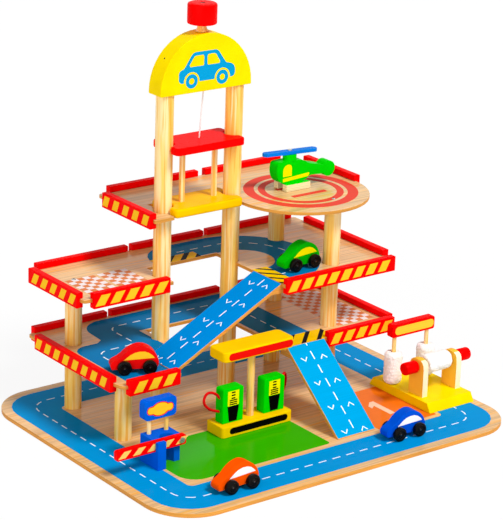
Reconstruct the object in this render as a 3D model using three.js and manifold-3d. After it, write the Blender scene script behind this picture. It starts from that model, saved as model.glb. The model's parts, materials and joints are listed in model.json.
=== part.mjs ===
// Wooden toy parking garage with three decks, two ramps and a hand-cranked lift.
// Millimetres, +Z up. The origin is the centre of the base board's underside.
// +X runs to the right along the front edge and +Y runs to the back.

import * as THREE from "three";
import { mergeVertices } from "three/addons/utils/BufferGeometryUtils.js";
import Module from "manifold-3d";

const wasm = await Module();
wasm.setup();

// General clearances
const SEAT = 0.3; // gap between a piece and what it rests on or passes through
const OVERRUN = 2; // how far a cutting tool runs past the face that it cuts
const runningClear = 0.3; // radial play of a turning piece
const SINK = 0.5; // how far two glued pieces of one node run into each other

// Fineness of round shapes: sides of a round piece by its size, segments of a corner
const SIDES = { large: 24, medium: 16, small: 12, fine: 8 };
const ROUND_SEGMENTS = 4;

// Board that everything stands on
const BASE = { width: 500, depth: 396, thick: 5, cornerRadius: 58, cornerSegments: 8 };

// The three decks, in plan. Insets are measured from the base board's edges.
const DECK = {
  thick: 4,
  firstRise: 81, // base board's top to the first deck's top
  rise: 78.5, // from one deck's top to the next
  leftInset: 50,
  rightInset: 55,
  backInset: 20,
  depth: 198.5,
  cornerRadius: 5,
  frontCornerRadius: 14,
  outlineSegments: 3,
};
const deckLeft = DECK.leftInset - BASE.width / 2;
const deckRight = BASE.width / 2 - DECK.rightInset;
const deckBack = BASE.depth / 2 - DECK.backInset;
const deckFront = deckBack - DECK.depth;
const firstTop = BASE.thick + DECK.firstRise;
const secondTop = firstTop + DECK.rise;
const thirdTop = secondTop + DECK.rise;
const deckTops = [firstTop, secondTop, thirdTop];

// The two posts of the lift tower
const TOWER = {
  radius: 10.5,
  spacing: 99, // centre to centre
  acrossShare: 0.44177, // middle between the posts, from the decks' left edge to the right
  fromBack: 93, // decks' back edge to the posts' centres
  headroom: 140, // third deck's top to the posts' tops
};
const towerX = deckLeft + TOWER.acrossShare * (deckRight - deckLeft);
const towerY = deckBack - TOWER.fromBack;
const towerTop = thirdTop + TOWER.headroom;

// The U-shaped opening that the lift runs in
const SHAFT = { margin: 1, fromBack: 63.5, cornerRadius: 2 };
const shaftLeft = towerX - TOWER.spacing / 2 - SHAFT.margin;
const shaftRight = towerX + TOWER.spacing / 2 + SHAFT.margin;
const shaftBack = deckBack - SHAFT.fromBack;

// How far each deck's right limb stays clear of the shaft, and its left limb's shape
const FIRST = { rightLimbClear: 4.5, leftLimbWidth: 81, stepFromFront: 65.5 };
const SECOND = { rightLimbClear: 1.5, leftLimbDepth: 119.5 };
const THIRD = { rightLimbClear: 0.5, leftLimbDepth: 118.5, leftLimbWidth: 27.5 };
const firstInner = shaftRight + FIRST.rightLimbClear;
const secondInner = shaftRight + SECOND.rightLimbClear;
const thirdInner = shaftRight + THIRD.rightLimbClear;
const firstLimbRight = deckLeft + FIRST.leftLimbWidth;
const secondFront = deckBack - SECOND.leftLimbDepth;
const thirdFront = deckBack - THIRD.leftLimbDepth;
const thirdLeft = shaftLeft - THIRD.leftLimbWidth;
const helipadRadius = (deckRight - thirdInner) / 2;
const HELIPAD = { x: deckRight - helipadRadius, fromBack: 113, segments: 12 };
const helipadY = deckBack - HELIPAD.fromBack;

// Posts that carry the decks. The left ones are placed from the decks' left edge, the
// right ones by a share of the right limb's width, all from the front or back edge.
const POST = {
  radius: 10,
  backLeftFromLeft: 29.5,
  backLeftFromBack: 52.6,
  frontLeftFromLeft: 27.6,
  frontLeftFromFront: 37.5,
  backRightAcrossShare: 0.5553,
  backRightFromBack: 57.4,
  frontRightAcrossShare: 0.5619,
  frontRightFromFront: 34.7,
};
const acrossRightLimb = (share) => firstInner + share * (deckRight - firstInner);
const frontRightPostX = acrossRightLimb(POST.frontRightAcrossShare);
// Each post with the deck whose underside it reaches up to: 0 is the first
const POSTS = [
  {
    name: "post_back_left",
    x: deckLeft + POST.backLeftFromLeft,
    y: deckBack - POST.backLeftFromBack,
    deck: 1,
  },
  {
    name: "post_front_left",
    x: deckLeft + POST.frontLeftFromLeft,
    y: deckFront + POST.frontLeftFromFront,
    deck: 0,
  },
  {
    name: "post_back_right",
    x: acrossRightLimb(POST.backRightAcrossShare),
    y: deckBack - POST.backRightFromBack,
    deck: 2,
  },
  {
    name: "post_front_right",
    x: frontRightPostX,
    y: deckFront + POST.frontRightFromFront,
    deck: 2,
  },
];

// Ramps: the upper one runs down to the left, the lower one down to the front.
const RAMP = { thick: 4, tipThick: 1, tongueLength: 12, tongueThick: 8 };
const UPPER_RAMP = { width: 54, fromFront: 6.5, footLap: 5.4 };
const LOWER_RAMP = { width: 56, fromInner: 3, footFromFront: 76.5, railGap: 4 };
const lowerRun = deckFront + BASE.depth / 2 - LOWER_RAMP.footFromFront;
const lowerRampRight = firstInner + LOWER_RAMP.fromInner + LOWER_RAMP.width;

// Grooved rails along the decks' edges
const RAIL = {
  height: 18.5,
  aboveDeck: 7.5,
  thick: 9,
  grip: 4, // how far the deck's edge goes into the groove
};
// Each rail runs between two shares of its edge's length, measured from the edge's left or
// front end. Deck 0 is the first, and its right front rail starts beside the lower ramp.
const besideRampShare =
  (lowerRampRight + LOWER_RAMP.railGap - firstInner) / (deckRight - firstInner);
const RAIL_EDGE_SHARES = [
  { name: "rail_1_left", deck: 0, edge: "left", from: 0.0831, to: 0.8892 },
  { name: "rail_1_front_left", deck: 0, edge: "frontLeft", from: 0.0926, to: 0.9506 },
  { name: "rail_1_front_right", deck: 0, edge: "frontRight", from: besideRampShare, to: 0.997 },
  { name: "rail_1_right", deck: 0, edge: "right", from: 0.0277, to: 0.8841 },
  { name: "rail_1_back_1", deck: 0, edge: "back", from: 0.0177, to: 0.2775 },
  { name: "rail_1_back_2", deck: 0, edge: "back", from: 0.2927, to: 0.7033 },
  { name: "rail_1_back_3", deck: 0, edge: "back", from: 0.7185, to: 0.962 },
  { name: "rail_2_left", deck: 1, edge: "left", from: 0.0628, to: 0.9331 },
  { name: "rail_2_front_left", deck: 1, edge: "frontLeft", from: 0.0863, to: 0.9395 },
  { name: "rail_2_front_right", deck: 1, edge: "frontRight", from: 0, to: 0.9733 },
  { name: "rail_2_right", deck: 1, edge: "right", from: 0.0982, to: 0.8841 },
  { name: "rail_2_back_1", deck: 1, edge: "back", from: 0.0266, to: 0.3509 },
  { name: "rail_2_back_2", deck: 1, edge: "back", from: 0.3661, to: 0.6332 },
  { name: "rail_2_back_3", deck: 1, edge: "back", from: 0.6484, to: 0.981 },
  { name: "rail_3_left", deck: 2, edge: "left", from: 0.0211, to: 0.865 },
  { name: "rail_3_right", deck: 2, edge: "right", from: -0.0531, to: 0.8407 },
  { name: "rail_3_back_1", deck: 2, edge: "back", from: 0.0486, to: 0.4807 },
  { name: "rail_3_back_2", deck: 2, edge: "back", from: 0.5176, to: 0.9062 },
];

// Half-round head on top of the tower
const ARCH = { radius: 64, straight: 3.3, thick: 25, boreClear: 0.35, segments: 12 };
const archCentreZ = towerTop + ARCH.straight;
const archTop = archCentreZ + ARCH.radius;

// Crank that winds the lift's string
const CRANK = {
  knobRadius: 17.25,
  knobHeight: 24,
  knobRound: 2,
  collarRadius: 7.4,
  collarHeight: 5,
  neckHeight: 4,
  spindleRadius: 5.3,
};

// Lift cage of two plates, joined by two dowels
const LIFT = {
  width: 98,
  depth: 52,
  cornerRadius: 6,
  notchRadius: 12,
  aboveDeck: 7.5, // third deck's top to the top of the floor, as it hangs
  floorThick: 11,
  roofThick: 9.2,
  clearHeight: 63.8, // between the two plates
  dowelRadius: 3.5,
  dowelSpacing: 46.2,
  beadRadius: 5.3,
  beadHeight: 3,
};
const liftFloorTop = thirdTop + LIFT.aboveDeck;
const liftFloorBottom = liftFloorTop - LIFT.floorThick;
const liftRoofBottom = liftFloorTop + LIFT.clearHeight;
const liftRoofTop = liftRoofBottom + LIFT.roofThick;

const STRING = { radius: 0.8 };

// Petrol station
const PETROL = {
  blockWidth: 101.8,
  blockDepth: 32.7,
  blockHeight: 13.5,
  cornerRadius: 4,
  cornerSegments: 3,
  leftOfTower: 2.6, // tower's middle to the station's middle
  beforeDeck: 11.4, // decks' front edge to the station's middle
  pumpWidth: 29.5,
  pumpDepth: 14.5,
  pumpHeight: 43,
  pumpRound: 3,
  pumpSpacing: 59.7,
  dowelRadius: 4.5,
  roofWidth: 101,
  roofHeight: 13,
  clearHeight: 79, // block's top to the roof's underside
};
const petrolX = towerX - PETROL.leftOfTower;
const petrolY = deckFront - PETROL.beforeDeck;
const petrolTop = BASE.thick + PETROL.blockHeight;
// Hose of a pump: its loop's reach out from the pump's side and its height range above the
// block, with its route as shares of both
const HOSE = { radius: 1.7, reach: 21.9, low: 14, rise: 26, steps: 22 };
// How far each hose is swung to the back, in degrees, and how far its loop's end hangs down
const LEFT_HOSE = { turn: 0, sag: 0 };
const RIGHT_HOSE = { turn: 37, sag: 5.2 };
const HOSE_ROUTE_SHARES = [
  [0, 0.654],
  [0.21, 0.858],
  [0.54, 1],
  [0.84, 0.981],
  [1, 0.731],
  [0.92, 0.477],
  [0.59, 0.212],
  [0, 0],
];

// Car wash
const WASH = {
  plateWidth: 70.5,
  plateDepth: 112.5,
  plateHeight: 11,
  slopeLength: 6.5, // of the slopes at the plate's front and back ends
  fromRight: 41.4, // base board's right edge to the plate's middle
  beforeDeck: 44.5, // decks' front edge to the plate's middle
  cheekDepth: 25.6,
  cheekThick: 8,
  cheekSpacing: 52.7,
  cheekHeight: 46,
  cheekRound: 11,
  rollerBehindFront: 35.8, // plate's front edge to the roller's axis
  rollerShift: 2, // roller's middle to the right of the plate's middle
  axisHeight: 36.5, // plate's top to the roller's axis
  axleRadius: 2.5,
  rollerRadius: 12,
  rollerClear: 4, // fleece's end to the cheek's inner face
  knobRadius: 7.7,
  knobLength: 18.5,
  knobClear: 2, // cheek's outer face to the knob
  brushRadius: 11.4,
  brushHeight: 41,
  brushRound: 7,
  brushSpacing: 51.5,
  brushShift: -2, // middle between the brushes to the right of the plate's middle
  brushBehindAxis: 43.5,
  signWidth: 67.3,
  signDepth: 10.5,
  signHeight: 16.5,
  signClear: 60.4, // plate's top to the sign's underside
  signRound: 3,
  signSegments: 2,
};
const washX = BASE.width / 2 - WASH.fromRight;
const washY = deckFront - WASH.beforeDeck;
const washTop = BASE.thick + WASH.plateHeight;
const rollerX = washX + WASH.rollerShift;
const rollerY = washY - WASH.plateDepth / 2 + WASH.rollerBehindFront;
const rollerZ = washTop + WASH.axisHeight;
const brushX = washX + WASH.brushShift;
const brushY = rollerY + WASH.brushBehindAxis;

// Ticket booth with its barrier
const BOOTH = {
  width: 38,
  depth: 35.5,
  height: 33,
  wallThick: 11,
  wallReach: 12, // how far the left wall runs in front of the block
  fromLeft: 59, // base board's left edge to the booth
  beforeDeck: 24, // decks' front edge to the booth's back
  recessRadius: 9.5,
  slotBehind: 5, // wall's front end to the barrier slot
  slotFloor: 21, // base board's top to the slot's floor
  dowelRadius: 2.5,
  dowelSpacing: 23.4,
  dowelHeight: 18,
  dowelFromBack: 6.5,
  signWidth: 43,
  signDepth: 11,
  signHeight: 23.5,
  signRound: 5,
  signSegments: 3,
};
const BARRIER = {
  length: 93,
  height: 12,
  thick: 6,
  pinFromRight: 2, // booth's right side to the pin
  pinRadius: 1.7,
  headRadius: 3.4,
  headThick: 1.4,
  cornerRadius: 2.5,
  endSegments: 6,
};
const boothLeft = BOOTH.fromLeft - BASE.width / 2;
const boothRight = boothLeft + BOOTH.width;
const boothBack = deckFront - BOOTH.beforeDeck;
const boothFace = boothBack - BOOTH.depth + BOOTH.wallReach; // front face of the block
const boothTop = BASE.thick + BOOTH.height;
const barrierBottom = BASE.thick + BOOTH.slotFloor + SEAT;
const barrierZ = barrierBottom + BARRIER.height / 2;
const barrierX = boothRight - BARRIER.pinFromRight;

// One car shape serves all four cars
const CAR = {
  length: 55.4,
  width: 14,
  clearance: 5.5,
  height: 32.5, // ground to roof
  wheelbase: 29,
  noseOverhang: 15.4,
  wheelRadius: 8.3,
  wheelThick: 6,
  track: 22,
  axleRadius: 2,
  outlineSegments: 2,
};
// The car's side outline from its tail under the body to the nose and over the roof:
// share of the length, share of the body's height
const CAR_BELLY_SHARES = [
  [0.94, 0],
  [0.03, 0],
];
const CAR_OUTLINE_SHARES = [
  [0, 0.15],
  [0.03, 0.32],
  [0.2, 0.52],
  [0.34, 0.79],
  [0.48, 0.94],
  [0.62, 1],
  [0.74, 0.94],
  [0.86, 0.79],
  [0.95, 0.57],
  [1, 0.3],
  [0.985, 0.08],
];

// Helicopter on the helipad. Its mast stands right of and behind the pad's middle.
const COPTER = {
  mastRight: -5,
  mastBehind: 14.5,
  length: 79.5, // nose to the tail disc's middle
  height: 28.2, // belly to the cabin's top
  thick: 15,
  noseReach: 24.2, // mast to the nose
  skidLength: 36,
  skidHeight: 7.8,
  skidThick: 8,
  skidSpacing: 17,
  skidShift: 5.5, // mast to the skids' middle
  tailRadius: 9.5,
  tailHeight: 10.3, // belly to the tail disc's middle
  tailSegments: 10,
  outlineSegments: 2,
  mastRadius: 8.4,
  mastHeight: 6.9,
  rotorLength: 73,
  rotorWidth: 10,
  rotorThick: 4,
  rotorChamfer: 3,
  rotorTurn: -8.5,
  pinRadius: 1.6,
  headRadius: 2.8,
  headThick: 0.8,
};
const mastX = HELIPAD.x + COPTER.mastRight;
const mastY = helipadY + COPTER.mastBehind;
const copterBelly = thirdTop + SEAT + COPTER.skidHeight;
const copterRoof = copterBelly + COPTER.height;
// The side outline from the boom's end over the cabin, round the nose and back along
// the belly: share of the length, share of the height
const COPTER_OUTLINE_SHARES = [
  [0.95, 0.5],
  [0.892, 0.56],
  [0.755, 0.671],
  [0.62, 0.769],
  [0.507, 0.935],
  [0.42, 0.99],
  [0.243, 1],
  [0.06, 1],
  [0.012, 0.9],
  [0, 0.6],
  [0.024, 0.325],
  [0.07, 0.148],
  [0.148, 0.04],
  [0.28, 0],
  [0.434, 0],
  [0.566, 0.105],
  [0.635, 0.22],
  [0.741, 0.215],
  [0.87, 0.19],
  [0.95, 0.25],
];

// Colours of the finishes
const COLORS = {
  plywood: 0xe8b880,
  dowel: 0xf5d48a,
  red: 0xe8000c,
  yellow: 0xffea00,
  liftYellow: 0xffd800,
  petrolYellow: 0xffc800,
  blue: 0x0085d5,
  paleBlue: 0x00aeef,
  boothBlue: 0x0050d8,
  pumpGreen: 0x00d000,
  rotorBlue: 0x0070d8,
  white: 0xf5f0f0,
  black: 0x151515,
  orangeCar: 0xff5000,
  blueCar: 0x0050d0,
  redCar: 0xe81010,
  greenCar: 0x00b000,
};

// Places of the cars' middles between their axles, and their turns about Z in degrees
const PARKED = {
  orangeFromLeft: 106.15, // base board's left edge
  orangeFromFront: 35.95, // base board's front edge
  orangeTurn: 0.6,
  blueFromRight: 144.9,
  blueFromFront: 45.5,
  blueTurn: -2.2,
  redFromLeft: 40.9, // decks' left edge
  redFromFront: 33.4, // decks' front edge
  redTurn: -24.8,
  greenFromPost: 43.1, // front right post's axis
  greenFromFront: 41.3,
  greenTurn: 2.6,
};
const baseFront = -BASE.depth / 2;
const CARS = [
  {
    name: "orange_car",
    x: PARKED.orangeFromLeft - BASE.width / 2,
    y: baseFront + PARKED.orangeFromFront,
    turn: PARKED.orangeTurn,
    ground: BASE.thick,
    color: COLORS.orangeCar,
  },
  {
    name: "blue_car",
    x: BASE.width / 2 - PARKED.blueFromRight,
    y: baseFront + PARKED.blueFromFront,
    turn: PARKED.blueTurn,
    ground: BASE.thick,
    color: COLORS.blueCar,
  },
  {
    name: "red_car",
    x: deckLeft + PARKED.redFromLeft,
    y: deckFront + PARKED.redFromFront,
    turn: PARKED.redTurn,
    ground: firstTop,
    color: COLORS.redCar,
  },
  {
    name: "green_car",
    x: frontRightPostX - PARKED.greenFromPost,
    y: deckFront + PARKED.greenFromFront,
    turn: PARKED.greenTurn,
    ground: secondTop,
    color: COLORS.greenCar,
  },
];

// A closed geometry as a solid that can be joined and cut
function solidOf(geometry) {
  const bare = geometry.index ? geometry.toNonIndexed() : geometry.clone();
  bare.deleteAttribute("normal");
  bare.deleteAttribute("uv");
  const merged = mergeVertices(bare);
  return new wasm.Manifold(
    new wasm.Mesh({
      numProp: 3,
      vertProperties: new Float32Array(merged.attributes.position.array),
      triVerts: new Uint32Array(merged.index.array),
    }),
  );
}

// A solid as a geometry with flat-shaded faces
function geometryOf(solid) {
  const made = solid.getMesh();
  const geometry = new THREE.BufferGeometry();
  geometry.setAttribute("position", new THREE.BufferAttribute(made.vertProperties, 3));
  geometry.setIndex(new THREE.BufferAttribute(made.triVerts, 1));
  const flat = geometry.toNonIndexed();
  flat.computeVertexNormals();
  return flat;
}

const joined = (first, ...rest) => rest.reduce((all, one) => all.add(one), first);
const cut = (body, ...tools) => tools.reduce((left, tool) => left.subtract(tool), body);

const garage = new THREE.Group();
const SATIN = 0.5; // roughness of paint and of bare wood
const ROUGH = 1; // roughness of fleece

// Adds a named piece with a painted or bare wood finish
function addPiece(name, solid, color, parent = garage, roughness = SATIN) {
  const material = new THREE.MeshStandardMaterial({ color, roughness, metalness: 0 });
  const mesh = new THREE.Mesh(geometryOf(solid), material);
  mesh.name = name;
  parent.add(mesh);
  return mesh;
}

// Closed outline through corners [x, y, radius]
function outline(corners) {
  const shape = new THREE.Shape();
  corners.forEach(([x, y, radius = 0], i) => {
    const before = corners[(i + corners.length - 1) % corners.length];
    const after = corners[(i + 1) % corners.length];
    const start = towards([x, y], before, radius);
    const end = towards([x, y], after, radius);
    if (i === 0) shape.moveTo(...start);
    else shape.lineTo(...start);
    if (radius > 0) shape.quadraticCurveTo(x, y, ...end);
  });
  shape.closePath();
  return shape;
}

// The point at a distance from one corner towards another
function towards([x, y], [toX, toY], distance) {
  const length = Math.hypot(toX - x, toY - y);
  return [x + ((toX - x) / length) * distance, y + ((toY - y) / length) * distance];
}

// Rectangle with four equal round corners, which may be full half-rounds
function roundedRectangle(left, right, low, high, radius) {
  const shape = new THREE.Shape();
  shape.absarc(right - radius, low + radius, radius, -Math.PI / 2, 0);
  shape.absarc(right - radius, high - radius, radius, 0, Math.PI / 2);
  shape.absarc(left + radius, high - radius, radius, Math.PI / 2, Math.PI);
  shape.absarc(left + radius, low + radius, radius, Math.PI, (3 * Math.PI) / 2);
  shape.closePath();
  return shape;
}

const extruded = (shape, depth, segments) =>
  new THREE.ExtrudeGeometry(shape, { depth, bevelEnabled: false, curveSegments: segments });

// A flat board: an outline in plan, from a height upwards
const board = (shape, bottom, thick, segments = ROUND_SEGMENTS) =>
  solidOf(extruded(shape, thick, segments).translate(0, 0, bottom));

// A profile drawn in X and Z, run from its front plane to the back
const profileY = (shape, front, depth, segments = ROUND_SEGMENTS) =>
  solidOf(extruded(shape, depth, segments).rotateX(Math.PI / 2).translate(0, front + depth, 0));

// A profile drawn in Y and Z, run from its left plane to the right
function profileX(shape, left, length, segments = ROUND_SEGMENTS) {
  const turn = new THREE.Matrix4().makeBasis(
    new THREE.Vector3(0, 1, 0),
    new THREE.Vector3(0, 0, 1),
    new THREE.Vector3(1, 0, 0),
  );
  return solidOf(extruded(shape, length, segments).applyMatrix4(turn).translate(left, 0, 0));
}

// A round bar upright at (x, y)
const uprightBar = (radius, x, y, bottom, height, sides = SIDES.large) =>
  solidOf(
    new THREE.CylinderGeometry(radius, radius, height, sides)
      .rotateX(Math.PI / 2)
      .translate(x, y, bottom + height / 2),
  );

// A round bar along X or along Y
const barX = (radius, left, length, y, z, sides = SIDES.large) =>
  solidOf(
    new THREE.CylinderGeometry(radius, radius, length, sides)
      .rotateZ(Math.PI / 2)
      .translate(left + length / 2, y, z),
  );
const barY = (radius, x, front, length, z, sides = SIDES.large) =>
  solidOf(
    new THREE.CylinderGeometry(radius, radius, length, sides).translate(x, front + length / 2, z),
  );

// A round tube along a path
const tubeAlong = (path, radius, steps) =>
  solidOf(
    new THREE.ExtrudeGeometry(new THREE.Shape().absarc(0, 0, radius, 0, 2 * Math.PI), {
      steps,
      curveSegments: SIDES.fine / 2,
      extrudePath: path,
    }),
  );

// A block between two corners
const block = (left, right, front, back, bottom, top) =>
  solidOf(
    new THREE.BoxGeometry(right - left, back - front, top - bottom).translate(
      (left + right) / 2,
      (front + back) / 2,
      (bottom + top) / 2,
    ),
  );

function addBase() {
  const halfWidth = BASE.width / 2;
  const halfDepth = BASE.depth / 2;
  const shape = roundedRectangle(-halfWidth, halfWidth, -halfDepth, halfDepth, BASE.cornerRadius);
  addPiece("base_board", board(shape, 0, BASE.thick, BASE.cornerSegments), COLORS.plywood);
}

// Every upright that may pass through a deck, with the height of its top
const uprights = [
  ...POSTS.map(({ name, x, y, deck }) => ({
    name,
    x,
    y,
    radius: POST.radius,
    top: deckTops[deck] - DECK.thick,
  })),
  ...[-1, 1].map((side) => ({
    name: side < 0 ? "tower_post_left" : "tower_post_right",
    x: towerX + (side * TOWER.spacing) / 2,
    y: towerY,
    radius: TOWER.radius,
    top: towerTop,
  })),
];

function addPosts() {
  for (const { name, x, y, radius, top } of uprights)
    addPiece(name, uprightBar(radius, x, y, BASE.thick, top - BASE.thick), COLORS.dowel);
}

// A deck with the holes and notches of the posts that run on above it
function deckBoard(shape, top, segments = DECK.outlineSegments) {
  const bottom = top - DECK.thick;
  const holes = uprights
    .filter((post) => post.top > top)
    .map(({ radius, x, y }) =>
      uprightBar(radius + SEAT, x, y, bottom - OVERRUN, DECK.thick + 2 * OVERRUN),
    );
  return cut(board(shape, bottom, DECK.thick, segments), ...holes);
}

// Corners of a deck's outline round the lift's shaft
const shaftCorners = (inner, step) => [
  [shaftLeft, step],
  [shaftLeft, shaftBack, SHAFT.cornerRadius],
  [inner, shaftBack, SHAFT.cornerRadius],
];

function addDecks() {
  const limbStep = deckFront + FIRST.stepFromFront;
  const first = outline([
    [deckLeft, deckFront, DECK.frontCornerRadius],
    [firstLimbRight, deckFront],
    [firstLimbRight, limbStep],
    ...shaftCorners(firstInner, limbStep),
    [firstInner, deckFront],
    [deckRight, deckFront, DECK.cornerRadius],
    [deckRight, deckBack, DECK.cornerRadius],
    [deckLeft, deckBack, DECK.cornerRadius],
  ]);
  const second = outline([
    [deckLeft, secondFront, DECK.cornerRadius],
    ...shaftCorners(secondInner, secondFront),
    [secondInner, deckFront],
    [deckRight, deckFront, DECK.cornerRadius],
    [deckRight, deckBack, DECK.cornerRadius],
    [deckLeft, deckBack, DECK.cornerRadius],
  ]);
  addPiece("deck_1", deckBoard(first, firstTop), COLORS.plywood);
  addPiece("deck_2", deckBoard(second, secondTop), COLORS.plywood);
  addPiece("deck_3", deckBoard(helipadDeck(), thirdTop, HELIPAD.segments), COLORS.plywood);
}

// The top deck, whose right part ends in the half-round helipad
function helipadDeck() {
  const round = DECK.cornerRadius;
  const shape = new THREE.Shape();
  shape.moveTo(thirdLeft, thirdFront);
  shaftCorners(thirdInner, thirdFront).forEach(([x, y]) => shape.lineTo(x, y));
  shape.absarc(HELIPAD.x, helipadY, helipadRadius, Math.PI, 2 * Math.PI);
  shape.lineTo(deckRight, deckBack - round);
  shape.quadraticCurveTo(deckRight, deckBack, deckRight - round, deckBack);
  shape.lineTo(thirdLeft + round, deckBack);
  shape.quadraticCurveTo(thirdLeft, deckBack, thirdLeft, deckBack - round);
  shape.closePath();
  return shape;
}

// A rail's section: across from the deck's edge outwards, and up from the deck's top
function railSection(outward, edge, top) {
  const inner = edge - outward * RAIL.grip;
  const outer = inner + outward * RAIL.thick;
  const groove = edge + outward * SEAT;
  const high = top + RAIL.aboveDeck;
  const low = high - RAIL.height;
  return outline([
    [inner, top + SEAT],
    [groove, top + SEAT],
    [groove, top - DECK.thick - SEAT],
    [inner, top - DECK.thick - SEAT],
    [inner, low],
    [outer, low],
    [outer, high],
    [inner, high],
  ]);
}

// Where a deck's edge lies, which way it faces and where its two ends are
function railEdge(deck, edge) {
  const left = [deckLeft, deckLeft, thirdLeft][deck];
  const front = [deckFront, secondFront, thirdFront][deck];
  const inner = [firstInner, secondInner, thirdInner][deck];
  const limbRight = [firstLimbRight, shaftLeft, shaftLeft][deck];
  const rightFront = [deckFront, deckFront, helipadY][deck];
  return {
    left: { alongX: false, outward: -1, at: left, ends: [front, deckBack] },
    right: { alongX: false, outward: 1, at: deckRight, ends: [rightFront, deckBack] },
    back: { alongX: true, outward: 1, at: deckBack, ends: [left, deckRight] },
    frontLeft: { alongX: true, outward: -1, at: front, ends: [left, limbRight] },
    frontRight: { alongX: true, outward: -1, at: deckFront, ends: [inner, deckRight] },
  }[edge];
}

function addRails() {
  for (const { name, deck, edge, from, to } of RAIL_EDGE_SHARES) {
    const { alongX, outward, at, ends } = railEdge(deck, edge);
    const [low, high] = ends;
    const section = railSection(outward, at, deckTops[deck]);
    const run = alongX ? profileX : profileY;
    addPiece(name, run(section, low + from * (high - low), (to - from) * (high - low)), COLORS.red);
  }
}

function addTowerHead() {
  const shape = new THREE.Shape();
  shape.moveTo(towerX - ARCH.radius, towerTop);
  shape.lineTo(towerX + ARCH.radius, towerTop);
  shape.absarc(towerX, archCentreZ, ARCH.radius, 0, Math.PI);
  shape.closePath();
  const head = profileY(shape, towerY - ARCH.thick / 2, ARCH.thick, ARCH.segments);
  const boreRadius = CRANK.spindleRadius + ARCH.boreClear;
  const boreBottom = towerTop - OVERRUN;
  const bore = uprightBar(boreRadius, towerX, towerY, boreBottom, archTop + OVERRUN - boreBottom);
  addPiece("tower_arch", cut(head, bore), COLORS.yellow);
}

// Knob, collar, neck and spindle turn as one
function addCrank() {
  const collarBottom = archTop + SEAT;
  const neckBottom = collarBottom + CRANK.collarHeight;
  const knobBottom = neckBottom + CRANK.neckHeight;
  const knobTop = knobBottom + CRANK.knobHeight;
  const profile = [
    [0, towerTop + SEAT],
    [CRANK.spindleRadius, towerTop + SEAT],
    [CRANK.spindleRadius, collarBottom],
    [CRANK.collarRadius, collarBottom],
    [CRANK.spindleRadius, neckBottom],
    [CRANK.spindleRadius, knobBottom],
    [CRANK.knobRadius - CRANK.knobRound, knobBottom],
    [CRANK.knobRadius, knobBottom + CRANK.knobRound],
    [CRANK.knobRadius, knobTop - CRANK.knobRound],
    [CRANK.knobRadius - CRANK.knobRound, knobTop],
    [0, knobTop],
  ];
  addPiece("crank_knob", turned(profile, towerX, towerY), COLORS.red);
}

// A closed profile [radius, z] turned about an upright axis at (x, y)
const turned = (profile, x, y) =>
  solidOf(
    new THREE.LatheGeometry(
      profile.map(([radius, z]) => new THREE.Vector2(radius, z)),
      SIDES.large,
    )
      .rotateX(Math.PI / 2)
      .translate(x, y, 0),
  );

// Outline shared by the lift's two plates, notched round the tower's posts
function liftPlate(bottom, thick) {
  const shape = roundedRectangle(
    towerX - LIFT.width / 2,
    towerX + LIFT.width / 2,
    towerY - LIFT.depth / 2,
    towerY + LIFT.depth / 2,
    LIFT.cornerRadius,
  );
  const notches = [-1, 1].map((side) =>
    uprightBar(
      LIFT.notchRadius,
      towerX + (side * TOWER.spacing) / 2,
      towerY,
      bottom - OVERRUN,
      thick + 2 * OVERRUN,
    ),
  );
  return cut(board(shape, bottom, thick), ...notches);
}

function addLift() {
  const bar = (radius, x, bottom, top) =>
    uprightBar(radius, x, towerY, bottom, top - bottom, SIDES.medium);
  const inRoof = liftRoofBottom + SINK;
  const dowels = [-1, 1].map((side) =>
    bar(LIFT.dowelRadius, towerX + (side * LIFT.dowelSpacing) / 2, liftFloorTop, inRoof),
  );
  const bead = bar(LIFT.beadRadius, towerX, liftRoofBottom - LIFT.beadHeight, inRoof);
  const roof = joined(liftPlate(liftRoofBottom, LIFT.roofThick), ...dowels, bead);
  addPiece("lift_canopy", roof, COLORS.red);
  addPiece("lift_platform", liftPlate(liftFloorBottom, LIFT.floorThick), COLORS.liftYellow);
}

// The string leaves the spindle at its rim and ends at the middle of the canopy
function addString() {
  const rim = CRANK.spindleRadius - STRING.radius;
  const route = new THREE.LineCurve3(
    new THREE.Vector3(towerX, towerY, liftRoofTop + SEAT),
    new THREE.Vector3(towerX + rim, towerY, towerTop),
  );
  addPiece("lift_string", tubeAlong(route, STRING.radius, 1), COLORS.white);
}

// A ramp's side outline. It falls from the deck that it leaves to the top that it lands on.
// Across is measured from the upper deck's edge, and the tongue lies under that deck.
function rampOutline(run, high, low, across) {
  const slope = (high - low - RAMP.tipThick) / (run - SEAT);
  const drop = RAMP.thick * Math.hypot(1, slope); // board's thickness, measured upright
  const deckUnder = high - DECK.thick;
  const tongueLow = deckUnder - RAMP.tongueThick;
  const underAt = (z) => SEAT + (high - drop - z) / slope;
  const points = [
    [SEAT, high],
    [run, low + RAMP.tipThick],
    [run, low],
    [underAt(low), low],
    [underAt(tongueLow), tongueLow],
    [-RAMP.tongueLength, tongueLow],
    [-RAMP.tongueLength, deckUnder],
    [SEAT, deckUnder],
  ];
  return outline(points.map(([out, z]) => [across(out), z]));
}

function addRamps() {
  const upperRun = secondInner - firstLimbRight + UPPER_RAMP.footLap;
  const upper = rampOutline(upperRun, secondTop, firstTop, (out) => secondInner - out);
  const upperFront = deckFront + UPPER_RAMP.fromFront;
  addPiece("ramp_upper", profileY(upper, upperFront, UPPER_RAMP.width), COLORS.blue);
  const lower = rampOutline(lowerRun, firstTop, BASE.thick, (out) => deckFront - out);
  const lowerLeft = firstInner + LOWER_RAMP.fromInner;
  addPiece("ramp_lower", profileX(lower, lowerLeft, LOWER_RAMP.width), COLORS.paleBlue);
}

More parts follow.
